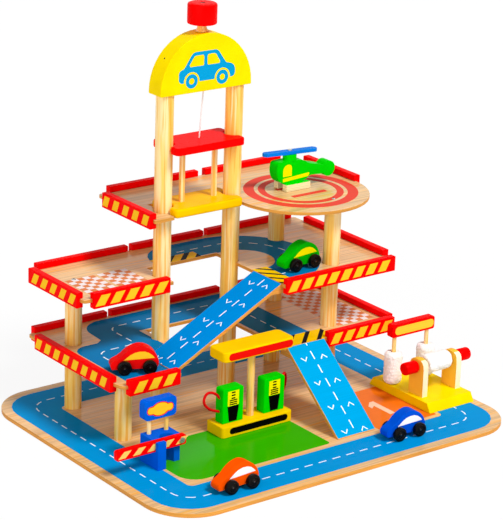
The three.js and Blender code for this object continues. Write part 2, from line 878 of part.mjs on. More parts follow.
// Hose that leaves a pump's side and comes back to it
function hoseLoop(sideX, outward, lie) {
  const swing = THREE.MathUtils.degToRad(lie.turn);
  const at = (out, upShare) =>
    new THREE.Vector3(
      sideX + outward * Math.cos(swing) * out,
      petrolY + Math.sin(swing) * out,
      petrolTop + HOSE.low + HOSE.rise * upShare - (lie.sag * out) / HOSE.reach,
    );
  const route = HOSE_ROUTE_SHARES.map(([outShare, upShare]) => at(outShare * HOSE.reach, upShare));
  const [, startShare] = HOSE_ROUTE_SHARES[0];
  const [, endShare] = HOSE_ROUTE_SHARES[HOSE_ROUTE_SHARES.length - 1];
  const path = [at(-OVERRUN, startShare), ...route, at(-OVERRUN, endShare)];
  return tubeAlong(new THREE.CatmullRomCurve3(path), HOSE.radius, HOSE.steps);
}

function addPump(name, side, hoseLie) {
  const left = petrolX + (side * PETROL.pumpSpacing - PETROL.pumpWidth) / 2;
  const right = left + PETROL.pumpWidth;
  const top = petrolTop + PETROL.pumpHeight;
  const shape = outline([
    [left, petrolTop],
    [right, petrolTop],
    [right, top, PETROL.pumpRound],
    [left, top, PETROL.pumpRound],
  ]);
  const body = profileY(shape, petrolY - PETROL.pumpDepth / 2, PETROL.pumpDepth);
  const hose = hoseLoop(side < 0 ? left : right, side, hoseLie);
  addPiece(name, joined(body, hose), COLORS.pumpGreen);
}

function addPetrolStation() {
  const slab = (width, bottom, height) =>
    board(
      roundedRectangle(
        petrolX - width / 2,
        petrolX + width / 2,
        petrolY - PETROL.blockDepth / 2,
        petrolY + PETROL.blockDepth / 2,
        PETROL.cornerRadius,
      ),
      bottom,
      height,
      PETROL.cornerSegments,
    );
  const base = slab(PETROL.blockWidth, BASE.thick, PETROL.blockHeight);
  addPiece("petrol_block", base, COLORS.petrolYellow);
  addPump("petrol_pump_left", -1, LEFT_HOSE);
  addPump("petrol_pump_right", 1, RIGHT_HOSE);
  const roof = slab(PETROL.roofWidth, petrolTop + PETROL.clearHeight, PETROL.roofHeight);
  const reach = PETROL.clearHeight + SINK;
  const dowel = uprightBar(PETROL.dowelRadius, petrolX, petrolY, petrolTop, reach, SIDES.medium);
  addPiece("petrol_roof", joined(roof, dowel), COLORS.petrolYellow);
}

// Plate with a slope at each end and the two cheeks that carry the roller
function addWashPlate() {
  const front = washY - WASH.plateDepth / 2;
  const back = front + WASH.plateDepth;
  const plateShape = outline([
    [front, BASE.thick],
    [back, BASE.thick],
    [back - WASH.slopeLength, washTop],
    [front + WASH.slopeLength, washTop],
  ]);
  const plate = profileX(plateShape, washX - WASH.plateWidth / 2, WASH.plateWidth);
  const cheekFront = rollerY - WASH.cheekDepth / 2;
  const cheekBack = cheekFront + WASH.cheekDepth;
  const cheekTop = washTop + WASH.cheekHeight;
  const cheekShape = outline([
    [cheekFront, washTop - SINK],
    [cheekBack, washTop - SINK],
    [cheekBack, cheekTop, WASH.cheekRound],
    [cheekFront, cheekTop, WASH.cheekRound],
  ]);
  const cheeks = [-1, 1].map((side) => {
    const left = rollerX + (side * WASH.cheekSpacing - WASH.cheekThick) / 2;
    return profileX(cheekShape, left, WASH.cheekThick);
  });
  const reach = WASH.cheekSpacing + 2 * WASH.cheekThick;
  const bore = barX(WASH.axleRadius + runningClear, rollerX - reach / 2, reach, rollerY, rollerZ);
  addPiece("wash_plate", cut(joined(plate, ...cheeks), bore), COLORS.yellow);
}

function addWashRoller() {
  const inner = (WASH.cheekSpacing - WASH.cheekThick) / 2 - WASH.rollerClear;
  const outer = (WASH.cheekSpacing + WASH.cheekThick) / 2 + WASH.knobClear;
  const bar = (radius, from, to) => barX(radius, rollerX + from, to - from, rollerY, rollerZ);
  const axle = bar(WASH.axleRadius, -outer - SINK, outer + SINK);
  const fleece = bar(WASH.rollerRadius, -inner, inner);
  const knobs = [
    bar(WASH.knobRadius, -outer - WASH.knobLength, -outer),
    bar(WASH.knobRadius, outer, outer + WASH.knobLength),
  ];
  addPiece("wash_roller", joined(axle, fleece, ...knobs), COLORS.white, garage, ROUGH);
}

// A round corner's points about (x, z), starting a number of quarter turns from +X
const roundCorner = (x, z, radius, quarters) =>
  Array.from({ length: ROUND_SEGMENTS + 1 }, (_, i) => {
    const angle = ((quarters + i / ROUND_SEGMENTS) * Math.PI) / 2;
    return [x + radius * Math.cos(angle), z + radius * Math.sin(angle)];
  });

// A fleece sleeve with round ends that turns on its dowel
function brush(x) {
  const bottom = washTop + SEAT;
  const top = bottom + WASH.brushHeight;
  const bore = WASH.axleRadius + runningClear;
  const flat = WASH.brushRadius - WASH.brushRound;
  const profile = [
    [bore, bottom],
    ...roundCorner(flat, bottom + WASH.brushRound, WASH.brushRound, -1),
    ...roundCorner(flat, top - WASH.brushRound, WASH.brushRound, 0),
    [bore, top],
    [bore, bottom],
  ];
  return turned(profile, x, brushY);
}

function addWashBrushes() {
  const signBottom = washTop + WASH.signClear;
  const shape = roundedRectangle(
    brushX - WASH.signWidth / 2,
    brushX + WASH.signWidth / 2,
    signBottom,
    signBottom + WASH.signHeight,
    WASH.signRound,
  );
  const sign = profileY(shape, brushY - WASH.signDepth / 2, WASH.signDepth, WASH.signSegments);
  const places = [-1, 1].map((side) => brushX + (side * WASH.brushSpacing) / 2);
  const reach = WASH.signClear + SINK;
  const dowels = places.map((x) => uprightBar(WASH.axleRadius, x, brushY, washTop, reach));
  addPiece("wash_sign", joined(sign, ...dowels), COLORS.yellow);
  addPiece("wash_brush_left", brush(places[0]), COLORS.white, garage, ROUGH);
  addPiece("wash_brush_right", brush(places[1]), COLORS.white, garage, ROUGH);
}

function addBooth() {
  const front = boothFace - BOOTH.wallReach;
  const wallInner = boothLeft + BOOTH.wallThick;
  const plan = outline([
    [boothLeft, front],
    [wallInner, front],
    [wallInner, boothFace],
    [boothRight, boothFace],
    [boothRight, boothBack],
    [boothLeft, boothBack],
  ]);
  const recess = uprightBar(
    BOOTH.recessRadius,
    wallInner + BOOTH.recessRadius,
    boothFace,
    BASE.thick - OVERRUN,
    BOOTH.height + 2 * OVERRUN,
  );
  const slot = block(
    boothLeft - OVERRUN,
    wallInner + OVERRUN,
    front + BOOTH.slotBehind,
    boothFace,
    BASE.thick + BOOTH.slotFloor,
    boothTop + OVERRUN,
  );
  const body = cut(board(plan, BASE.thick, BOOTH.height), recess, slot);
  addPiece("ticket_booth", joined(body, ...boothSign(), barrierPin()), COLORS.boothBlue);
}

// The booth's sign with its two dowels
function boothSign() {
  const bottom = boothTop + BOOTH.dowelHeight;
  const middle = (boothLeft + boothRight) / 2;
  const y = boothBack - BOOTH.dowelFromBack;
  const shape = roundedRectangle(
    middle - BOOTH.signWidth / 2,
    middle + BOOTH.signWidth / 2,
    bottom,
    bottom + BOOTH.signHeight,
    BOOTH.signRound,
  );
  const sign = profileY(shape, y - BOOTH.signDepth / 2, BOOTH.signDepth, BOOTH.signSegments);
  const reach = BOOTH.dowelHeight + 2 * SINK;
  const dowels = [-1, 1].map((side) => {
    const x = middle + (side * BOOTH.dowelSpacing) / 2;
    return uprightBar(BOOTH.dowelRadius, x, y, boothTop - SINK, reach, SIDES.small);
  });
  return [sign, ...dowels];
}

// Screw that the barrier turns on, with its head in front
function barrierPin() {
  const headBack = boothFace - BARRIER.thick - 2 * SEAT;
  const bar = (radius, front, back) =>
    barY(radius, barrierX, front, back - front, barrierZ, SIDES.medium);
  const shank = bar(BARRIER.pinRadius, headBack - SINK, boothFace + SINK);
  const head = bar(BARRIER.headRadius, headBack - BARRIER.headThick, headBack);
  return joined(shank, head);
}

function addBarrier() {
  const right = barrierX + BARRIER.height / 2;
  const left = right - BARRIER.length;
  const top = barrierBottom + BARRIER.height;
  const shape = roundedRectangle(left, right, barrierBottom, top, BARRIER.cornerRadius);
  const front = boothFace - SEAT - BARRIER.thick;
  const boreRadius = BARRIER.pinRadius + runningClear;
  const reach = BARRIER.thick + 2 * OVERRUN;
  const bore = barY(boreRadius, barrierX, front - OVERRUN, reach, barrierZ, SIDES.medium);
  const arm = profileY(shape, front, BARRIER.thick, BARRIER.endSegments);
  addPiece("barrier_arm", cut(arm, bore), COLORS.red);
}

// Car body with its nose towards -X, in its own place
function carBody() {
  const bodyHeight = CAR.height - CAR.clearance;
  const nose = -CAR.wheelbase / 2 - CAR.noseOverhang;
  const at = ([along, up]) =>
    new THREE.Vector2(nose + along * CAR.length, CAR.clearance + up * bodyHeight);
  const [tail, front] = CAR_BELLY_SHARES.map(at);
  const shape = new THREE.Shape();
  shape.moveTo(tail.x, tail.y);
  shape.lineTo(front.x, front.y);
  shape.splineThru(CAR_OUTLINE_SHARES.map(at));
  shape.closePath();
  const boreRadius = CAR.axleRadius + runningClear;
  const half = CAR.width / 2;
  const bores = [-1, 1].map((side) => {
    const x = (side * CAR.wheelbase) / 2;
    const reach = CAR.width + 2 * OVERRUN;
    return barY(boreRadius, x, -half - OVERRUN, reach, CAR.wheelRadius + SEAT, SIDES.small);
  });
  return cut(profileY(shape, -half, CAR.width, CAR.outlineSegments), ...bores);
}

function wheelset(x) {
  const z = CAR.wheelRadius + SEAT;
  const half = CAR.track / 2;
  const wheels = [-half, half].map((y) =>
    barY(CAR.wheelRadius, x, y - CAR.wheelThick / 2, CAR.wheelThick, z),
  );
  return joined(barY(CAR.axleRadius, x, -half, CAR.track, z, SIDES.small), ...wheels);
}

function addCars() {
  for (const { name, x, y, turn, ground, color } of CARS) {
    const car = new THREE.Group();
    car.position.set(x, y, ground);
    car.rotation.z = THREE.MathUtils.degToRad(turn);
    garage.add(car);
    addPiece(name, carBody(), color, car);
    addPiece(name + "_front_wheels", wheelset(-CAR.wheelbase / 2), COLORS.black, car);
    addPiece(name + "_rear_wheels", wheelset(CAR.wheelbase / 2), COLORS.black, car);
  }
}

// Cabin, boom, tail disc and mast of the helicopter
function copterBody() {
  const nose = mastX - COPTER.noseReach;
  const at = ([along, up]) =>
    new THREE.Vector2(nose + along * COPTER.length, copterBelly + up * COPTER.height);
  const [start, ...rest] = COPTER_OUTLINE_SHARES.map(at);
  const shape = new THREE.Shape();
  shape.moveTo(start.x, start.y);
  shape.splineThru(rest);
  shape.closePath();
  const front = mastY - COPTER.thick / 2;
  const tailX = nose + COPTER.length;
  const tailZ = copterBelly + COPTER.tailHeight;
  const tail = new THREE.Shape().absarc(tailX, tailZ, COPTER.tailRadius, 0, 2 * Math.PI);
  return joined(
    profileY(shape, front, COPTER.thick, COPTER.outlineSegments),
    profileY(tail, front, COPTER.thick, COPTER.tailSegments),
    uprightBar(COPTER.mastRadius, mastX, mastY, copterRoof - SINK, COPTER.mastHeight + SINK),
  );
}

// The two skids under the belly
function copterSkids() {
  const left = mastX + COPTER.skidShift - COPTER.skidLength / 2;
  const right = left + COPTER.skidLength;
  return [-1, 1].map((side) => {
    const front = mastY + (side * COPTER.skidSpacing - COPTER.skidThick) / 2;
    const back = front + COPTER.skidThick;
    return block(left, right, front, back, thirdTop + SEAT, copterBelly + SINK);
  });
}

// The rotor's outline in plan about its pin, with chamfered corners
function rotorOutline() {
  const end = COPTER.rotorLength / 2;
  const half = COPTER.rotorWidth / 2;
  const innerEnd = end - COPTER.rotorChamfer;
  const innerHalf = half - COPTER.rotorChamfer;
  return outline([
    [-innerEnd, -half],
    [innerEnd, -half],
    [end, -innerHalf],
    [end, innerHalf],
    [innerEnd, half],
    [-innerEnd, half],
    [-end, innerHalf],
    [-end, -innerHalf],
  ]);
}

function addHelicopter() {
  const mastTop = copterRoof + COPTER.mastHeight;
  const rotorBottom = mastTop + SEAT;
  const headBottom = rotorBottom + COPTER.rotorThick + SEAT;
  const bar = (radius, bottom, top) =>
    uprightBar(radius, mastX, mastY, bottom, top - bottom, SIDES.small);
  const pin = bar(COPTER.pinRadius, mastTop - SINK, headBottom + SINK);
  const head = bar(COPTER.headRadius, headBottom, headBottom + COPTER.headThick);
  addPiece("helicopter", joined(copterBody(), ...copterSkids(), pin, head), COLORS.pumpGreen);
  const reach = COPTER.rotorThick + 2 * OVERRUN;
  const bore = uprightBar(COPTER.pinRadius + runningClear, 0, 0, -OVERRUN, reach, SIDES.small);
  const blade = cut(board(rotorOutline(), 0, COPTER.rotorThick), bore);
  const rotor = addPiece("helicopter_rotor", blade, COLORS.rotorBlue);
  rotor.position.set(mastX, mastY, rotorBottom);
  rotor.rotation.z = THREE.MathUtils.degToRad(COPTER.rotorTurn);
}

addBase();
addPosts();
addDecks();
addRails();
addTowerHead();
addCrank();
addLift();
addString();
addRamps();
addPetrolStation();
addWashPlate();
addWashRoller();
addWashBrushes();
addBooth();
addBarrier();
addCars();
addHelicopter();

export default garage;
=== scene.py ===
"""Looks of a wooden toy parking garage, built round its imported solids.

Lengths are written in millimetres, in the frame of the solids: +X runs to the right along
the base board's front edge, +Y to the back and +Z up.
"""

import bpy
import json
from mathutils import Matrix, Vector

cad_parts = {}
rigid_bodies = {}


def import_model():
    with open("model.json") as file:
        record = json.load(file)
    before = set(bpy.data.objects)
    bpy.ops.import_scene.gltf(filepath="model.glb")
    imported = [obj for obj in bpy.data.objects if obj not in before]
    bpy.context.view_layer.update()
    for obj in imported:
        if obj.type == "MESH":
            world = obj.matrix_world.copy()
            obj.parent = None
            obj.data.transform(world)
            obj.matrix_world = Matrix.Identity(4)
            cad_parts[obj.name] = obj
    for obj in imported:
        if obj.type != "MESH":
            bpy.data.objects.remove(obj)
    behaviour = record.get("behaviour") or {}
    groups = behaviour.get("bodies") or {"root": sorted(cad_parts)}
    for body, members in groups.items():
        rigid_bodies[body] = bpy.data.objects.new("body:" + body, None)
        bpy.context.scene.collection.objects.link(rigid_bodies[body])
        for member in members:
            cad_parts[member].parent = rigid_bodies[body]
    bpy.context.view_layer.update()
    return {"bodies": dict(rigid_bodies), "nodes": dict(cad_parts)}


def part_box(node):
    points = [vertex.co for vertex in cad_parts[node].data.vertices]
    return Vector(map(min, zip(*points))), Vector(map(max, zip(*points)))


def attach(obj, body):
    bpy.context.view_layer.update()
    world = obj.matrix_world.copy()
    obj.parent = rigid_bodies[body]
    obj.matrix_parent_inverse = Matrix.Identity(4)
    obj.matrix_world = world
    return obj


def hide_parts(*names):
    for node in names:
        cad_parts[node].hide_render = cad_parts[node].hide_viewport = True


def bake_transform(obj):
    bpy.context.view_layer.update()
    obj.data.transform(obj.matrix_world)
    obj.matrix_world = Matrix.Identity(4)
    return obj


bl_info = {
    "name": "Toy parking garage",
    "version": (1, 0, 0),
    "blender": (4, 5, 0),
    "location": "3D View > Sidebar > Garage",
    "description": "Gives a wooden toy parking garage its lacquers, prints, fleece and screws",
    "category": "Object",
}

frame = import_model()

import json
import math

import bmesh
import bpy
from bpy.props import FloatProperty, FloatVectorProperty, PointerProperty
from mathutils import Matrix, Vector, noise

MM = 0.001
# How far a print on an upright face reaches into it
SUNK = 0.05
# Straight pieces in the arc of a rounded corner
CORNER_STEPS = 6


# Sizes and colours


def linear(code):
    """An sRGB hex value as linear red, green, blue and alpha"""
    parts = [int(code[i : i + 2], 16) / 255 for i in (1, 3, 5)]
    return [c / 12.92 if c <= 0.04045 else ((c + 0.055) / 1.055) ** 2.4 for c in parts] + [1.0]


def length(name, description, millimetres):
    return FloatProperty(
        name=name, description=description, default=millimetres * MM, min=0, unit="LENGTH"
    )


def colour(name, description, code):
    return FloatVectorProperty(
        name=name, description=description, default=linear(code), size=4, min=0, max=1,
        subtype="COLOR",
    )


class GarageSizes(bpy.types.PropertyGroup):
    board_edge: length("Board edge", "Rounding of the plywood boards' edges", 0.35)
    lacquered_edge: length("Lacquered edge", "Rounding of the lacquered blocks' edges", 0.9)
    car_edge: length("Car edge", "Rounding of the cars' and the helicopter's edges", 1.5)
    lift_edge: length("Lift edge", "Rounding of the lift's roof and floor", 2.8)
    ink: length("Ink", "Thickness that a print stands proud", 0.06)
    dash_length: length("Dash length", "Length of a lane's dash", 11)
    dash_pitch: length("Dash pitch", "From one dash to the next", 20)
    dash_width: length("Dash width", "Width of a lane's dash", 1.6)
    pile: length("Pile", "Height of the fleece's tufts", 1.3)


class GarageColours(bpy.types.PropertyGroup):
    red: colour("Red", "Rails, lift roof, knobs and barrier", "#FA0202")
    yellow: colour("Yellow", "Tower head and wash plate", "#FFDC00")
    warm_yellow: colour("Warm yellow", "Petrol station", "#FFC800")
    blue: colour("Blue", "Ticket booth", "#005ED8")
    green: colour("Green", "Petrol pumps and helicopter", "#00D400")
    road: colour("Road", "Printed roads", "#0090D4")
    ramp: colour("Ramp", "Lower ramp", "#009FD9")
    meadow: colour("Green field", "Ground before the petrol station", "#32AC00")
    bay: colour("Orange field", "Parking bay before the car wash", "#EC7414")
    veneer: colour("Veneer", "Faces of the plywood", "#E8BA80")
    ply_edge: colour("Plywood edge", "Cut edges of the plywood", "#D8943C")
    dowel: colour("Dowel", "Bare posts and dowels", "#FFE2A2")


# Outlines and solids


def box(node):
    """Lowest and highest corner of a solid at rest, in millimetres"""
    low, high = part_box(node)
    return low / MM, high / MM


def middle_of(node):
    low, high = box(node)
    return (low + high) / 2


def points(*pairs):
    return [Vector(p) for p in pairs]


def corners(marks):
    """Closed outline through marks (u, v, radius), with an arc at each corner with a radius"""
    made = []
    for i, (u, v, *radius) in enumerate(marks):
        here = Vector((u, v))
        if not radius or not radius[0]:
            made.append(here)
            continue
        before = (Vector(marks[i - 1][:2]) - here).normalized()
        after = (Vector(marks[(i + 1) % len(marks)][:2]) - here).normalized()
        half = before.angle(after) / 2
        centre = here + (before + after).normalized() * radius[0] / math.sin(half)
        reach = radius[0] / math.tan(half)
        first, last = here + before * reach - centre, here + after * reach - centre
        start = math.atan2(first.y, first.x)
        sweep = (math.atan2(last.y, last.x) - start + math.pi) % (2 * math.pi) - math.pi
        for k in range(CORNER_STEPS + 1):
            angle = start + sweep * k / CORNER_STEPS
            made.append(centre + Vector((math.cos(angle), math.sin(angle))) * radius[0])
    return made


def rectangle(left, right, low, high, radius=0):
    return corners(
        [(left, low, radius), (right, low, radius), (right, high, radius), (left, high, radius)]
    )


def arc(u, v, radius, start=0, end=360, steps=48):
    """Points of an arc about (u, v), in degrees from +u"""
    whole = end - start == 360
    count = steps if whole else steps + 1
    angles = [math.radians(start + (end - start) * k / steps) for k in range(count)]
    return [Vector((u + radius * math.cos(a), v + radius * math.sin(a))) for a in angles]


ACROSS = {
    "x": lambda u, v, w: (w, u, v),
    "y": lambda u, v, w: (u, w, v),
    "z": lambda u, v, w: (u, v, w),
}


def loops(mesh, outlines, axis, tone, closed=True):
    """Joins outlines (points, place along the axis) by side faces, and caps both ends"""
    at = ACROSS[axis]
    rings = [[mesh.verts.new(Vector(at(u, v, w)) * MM) for u, v in o] for o, w in outlines]
    faces = [mesh.faces.new(rings[0]), mesh.faces.new(rings[-1])] if closed else []
    pairs = list(zip(rings, rings[1:])) + ([] if closed else [(rings[-1], rings[0])])
    for low, high in pairs:
        for i in range(len(low)):
            j = (i + 1) % len(low)
            faces.append(mesh.faces.new((low[i], low[j], high[j], high[i])))
    for face in faces:
        face.material_index = tone


def prism(mesh, outline, axis, low, high, tone=0):
    loops(mesh, [(outline, low), (outline, high)], axis, tone)


def band(mesh, outer, inner, axis, low, high, tone=0):
    """A flat ring between two outlines of as many points"""
    loops(mesh, [(outer, low), (outer, high), (inner, high), (inner, low)], axis, tone, False)


def turned(mesh, profile, centre, axis="z", tone=0, steps=32):
    """A profile (radius, place along the axis) turned about an axis through a centre (u, v)"""
    u, v = centre
    outlines = [(arc(u, v, max(radius, 0.01), steps=steps), w) for radius, w in profile]
    loops(mesh, outlines, axis, tone)


def strip(mesh, path, width, axis, low, high, tone=0):
    """A flat strip along a path"""
    sides = []
    for i in range(len(path)):
        along = path[min(i + 1, len(path) - 1)] - path[max(i - 1, 0)]
        sides.append(Vector((-along.y, along.x)).normalized() * width / 2)
    outline = [p + s for p, s in zip(path, sides)]
    outline += [p - s for p, s in reversed(list(zip(path, sides)))]
    prism(mesh, outline, axis, low, high, tone)


def part_of(path, start, end):
    """The points of a path between two lengths along it"""
    made, gone = [], 0
    for a, b in zip(path, path[1:]):
        step = (b - a).length
        for at in (start, end):
            if gone <= at < gone + step:
                made.append(a.lerp(b, (at - gone) / step))
        if start < gone + step < end:
            made.append(b.copy())
        gone += step
    return made


def smooth_route(marks, steps):
    """A smooth line through marks, with a number of steps from each to the next"""
    ends = [2 * marks[0] - marks[1]] + marks + [2 * marks[-1] - marks[-2]]
    made = []
    for a, b, c, d in zip(ends, ends[1:], ends[2:], ends[3:]):
        for k in range(steps):
            t = k / steps
            curve = (2 * a - 5 * b + 4 * c - d) * t * t + (3 * b - a - 3 * c + d) * t**3
            made.append((2 * b + (c - a) * t + curve) / 2)
    return made + [marks[-1]]


def new_object(name, mesh, materials):
    data = bpy.data.meshes.new(name)
    bmesh.ops.recalc_face_normals(mesh, faces=mesh.faces)
    mesh.to_mesh(data)
    mesh.free()
    made = bpy.data.objects.new(name, data)
    bpy.context.scene.collection.objects.link(made)
    for material in materials:
        data.materials.append(material)
    return made


def smoothed(made):
    made.data.polygons.foreach_set("use_smooth", [True] * len(made.data.polygons))
    return made


def piece(name, mesh, body, names, slot, edge=0, replaces=()):
    """Makes a piece that rides on a body. names lists its finishes, which its faces pick by
    their tones, and its edges are rounded by a length in metres."""
    made = smoothed(new_object(name, mesh, finishes(names)))
    if edge:
        bevel = made.modifiers.new("Rounded edges", "BEVEL")
        bevel.width, bevel.segments, bevel.limit_method = edge, 2, "ANGLE"
        bevel.angle_limit = math.radians(40)
        made.modifiers.new("Flat faces", "WEIGHTED_NORMAL").keep_sharp = True
    else:
        made.data.set_sharp_from_angle(angle=math.radians(35))
    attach(made, body)
    if replaces:
        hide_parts(*replaces)
    return made


def body_of(node):
    return next(b for b, o in frame["bodies"].items() if frame["nodes"][node].parent == o)


def solid(node):
    """A solid's faces as a new mesh, with its flat triangles joined"""
    mesh = bmesh.new()
    mesh.from_mesh(frame["nodes"][node].data)
    bmesh.ops.remove_doubles(mesh, verts=mesh.verts, dist=1e-6)
    for face in mesh.faces:
        face.material_index = 0
    bmesh.ops.dissolve_limit(
        mesh, angle_limit=math.radians(1), verts=mesh.verts, edges=mesh.edges
    )
    return mesh


def dressed(node, names, slot, edge, tone=None, name=None):
    """A solid with rounded edges. tone(centre, normal) picks each face's finish."""
    mesh = solid(node)
    if tone:
        for face in mesh.faces:
            face.material_index = tone(face.calc_center_median() / MM, face.normal)
    return piece(name or node + "_wood", mesh, body_of(node), names, slot, edge, [node])


# Materials


def add_node(tree, kind, inputs=None, **settings):
    """Adds a node with its settings, and sets or links its inputs"""
    made = tree.nodes.new(kind)
    for key, value in settings.items():
        setattr(made, key, value)
    for key, value in (inputs or {}).items():
        if isinstance(value, bpy.types.NodeSocket):
            tree.links.new(value, made.inputs[key])
        else:
            made.inputs[key].default_value = value
    return made


def new_material(name, **values):
    """Makes a material, with values set on its shader's own sockets, and gives its node tree
    and its shader"""
    made = bpy.data.materials.new(name)
    made.use_nodes = True
    tree = made.node_tree
    shader = tree.nodes["Principled BSDF"]
    for key, value in values.items():
        shader.inputs[key.replace("_", " ")].default_value = value
    return tree, shader


def figure(tree, across, along, low, high, direction="X", detail=3.0, most=1.0):
    """A figure from 0 to a value, drawn out along a direction: its width and length are in
    millimetres, and low and high say where in the noise it starts and ends"""
    scale = [1 / (across * MM)] * 3
    scale["XYZ".index(direction)] = 1 / (along * MM)
    at = add_node(tree, "ShaderNodeTexCoord").outputs["Object"]
    drawn = add_node(tree, "ShaderNodeMapping", {"Vector": at, "Scale": scale})
    cloud = {"Vector": drawn.outputs["Vector"], "Scale": 1.0, "Detail": detail}
    made = add_node(tree, "ShaderNodeTexNoise", cloud).outputs["Fac"]
    ends = {"Value": made, "From Min": low, "From Max": high, "To Max": most}
    return add_node(tree, "ShaderNodeMapRange", ends).outputs["Result"]


def shade(value, by):
    """A colour made lighter or darker"""
    return [min(1, c * by) for c in value[:3]] + [1.0]


def surface(tree, shader, layers, relief, rough, strength, depth):
    """Colours the shader by layers (figure, colour under it, colour over it; None stands for
    the layers before), and gives it roughness and a bump of a depth in millimetres"""
    tint = None
    for over, first, second in layers:
        ends = {0: over, 6: tint if first is None else first, 7: second}
        tint = add_node(tree, "ShaderNodeMix", ends, data_type="RGBA").outputs[2]
    tree.links.new(tint, shader.inputs["Base Color"])
    gloss = {"Value": relief, "To Min": rough[0], "To Max": rough[1]}
    gloss = add_node(tree, "ShaderNodeMapRange", gloss).outputs["Result"]
    tree.links.new(gloss, shader.inputs["Roughness"])
    bump = {"Height": relief, "Strength": strength, "Distance": depth * MM}
    bump = add_node(tree, "ShaderNodeBump", bump).outputs["Normal"]
    tree.links.new(bump, shader.inputs["Normal"])


def lacquered_beech(name, value):
    """Sprayed water-based lacquer on sanded beech: an even, strong colour with a soft gloss,
    a little uneven like orange peel, through which the pores just show. Real pores are finer,
    and are drawn as coarse as they need to show."""
    tree, shader = new_material(name, IOR=1.5, Specular_IOR_Level=0.015)
    cloud = figure(tree, 22, 22, 0.3, 0.7, detail=2.0)
    pores = figure(tree, 0.9, 5, 0.3, 0.7, detail=2.0)
    layers = [(cloud, shade(value, 0.93), shade(value, 1.04))]
    surface(tree, shader, layers, pores, (0.26, 0.38), 0.25, 0.05)


def printed_plywood(name, value, varnish=0.006):
    """Ink printed on birch plywood under a clear gloss varnish: a mirror-like sheen in which
    what stands on it shows, with fine veneer lines telegraphing through"""
    tree, shader = new_material(name, IOR=1.5, Specular_IOR_Level=varnish)
    lines = figure(tree, 1.4, 70, 0.3, 0.7)
    layers = [(lines, shade(value, 0.95), shade(value, 1.02))]
    surface(tree, shader, layers, lines, (0.09, 0.15), 0.08, 0.03)


def varnished_veneer(name, value):
    """Rotary-cut veneer face of plywood under clear varnish: fine parallel lines along the
    board, wide pale and rosy bands, a few honey-coloured streaks, and a soft gloss"""
    tree, shader = new_material(name, IOR=1.5, Specular_IOR_Level=0.16)
    lines = figure(tree, 2.2, 160, 0.36, 0.62, detail=4.0)
    bands = figure(tree, 16, 260, 0.35, 0.65, detail=2.0, most=0.45)
    streaks = figure(tree, 4.5, 90, 0.56, 0.68, detail=2.0, most=0.75)
    layers = [
        (lines, shade(value, 0.68), shade(value, 1.06)),
        (bands, None, linear("#F2CA94")),
        (streaks, None, linear("#F4AC3C")),
    ]
    surface(tree, shader, layers, lines, (0.14, 0.22), 0.1, 0.04)


def cut_plies(name, value):
    """Sawn and sanded plywood edge: thin layers of long and end grain, matt and darker than
    the faces"""
    tree, shader = new_material(name, IOR=1.5, Specular_IOR_Level=0.2)
    plies = figure(tree, 70, 0.9, 0.35, 0.65, "Z", 1.0)
    layers = [(plies, shade(value, 0.82), shade(value, 1.12))]
    surface(tree, shader, layers, plies, (0.5, 0.65), 0.3, 0.08)


def bare_pine(name, value):
    """Sanded pine dowel, left bare: growth rings cut along the stem show as long honey-yellow
    flames, with fine fibres and a silky surface. Real fibres are finer, and are drawn as
    coarse as they need to show."""
    tree, shader = new_material(name, IOR=1.5, Specular_IOR_Level=0.08)
    flames = figure(tree, 8, 120, 0.44, 0.57, "Z", 2.0, 0.95)
    edges = figure(tree, 2.8, 90, 0.52, 0.62, "Z", 2.0, 0.85)
    fibres = figure(tree, 0.7, 18, 0.3, 0.7, "Z", most=0.2)
    layers = [
        (flames, value, linear("#FFCA54")),
        (edges, None, linear("#F4A828")),
        (fibres, None, shade(value, 1.02)),
    ]
    surface(tree, shader, layers, fibres, (0.36, 0.5), 0.2, 0.05)


def wool_fleece(name, value):
    """Knitted wool fleece sleeve: matt white curls with soft shaded gaps and a faint halo"""
    tree, shader = new_material(
        name, IOR=1.45, Specular_IOR_Level=0.1, Sheen_Weight=0.6, Sheen_Roughness=0.6
    )
    curls = figure(tree, 1.5, 1.5, 0.3, 0.7, detail=4.0)
    layers = [(curls, shade(value, 0.98), value)]
    surface(tree, shader, layers, curls, (0.95, 1.0), 0.6, 0.7)


def twisted_cotton(name, value):
    """Twisted cotton string: matt, off-white, with a fine slanted lay"""
    tree, shader = new_material(name, IOR=1.45, Sheen_Weight=0.3)
    lay = figure(tree, 0.5, 1.6, 0.3, 0.7, "Z")
    layers = [(lay, shade(value, 0.85), value)]
    surface(tree, shader, layers, lay, (0.75, 0.9), 0.4, 0.15)


def zinc_plated_steel(name, value):
    """Zinc-plated screw head: bright metal, a little scratched from driving. Real scratches
    are finer, and are drawn as coarse as they need to show."""
    tree, shader = new_material(name, Metallic=1.0)
    scratches = figure(tree, 0.3, 2.5, 0.3, 0.7, detail=2.0)
    layers = [(scratches, shade(value, 0.85), value)]
    surface(tree, shader, layers, scratches, (0.22, 0.38), 0.2, 0.03)


def dipped_black(name, value):
    """Beech dipped in black lacquer: deep black with a gloss on its turned ridges. The same recipe
    gives the near-black painted shade put into holes and screw recesses.
    """
    tree, shader = new_material(name, IOR=1.5, Specular_IOR_Level=0.12)
    marks = figure(tree, 0.8, 3, 0.3, 0.7)
    layers = [(marks, shade(value, 0.7), shade(value, 1.3))]
    surface(tree, shader, layers, marks, (0.24, 0.36), 0.3, 0.06)


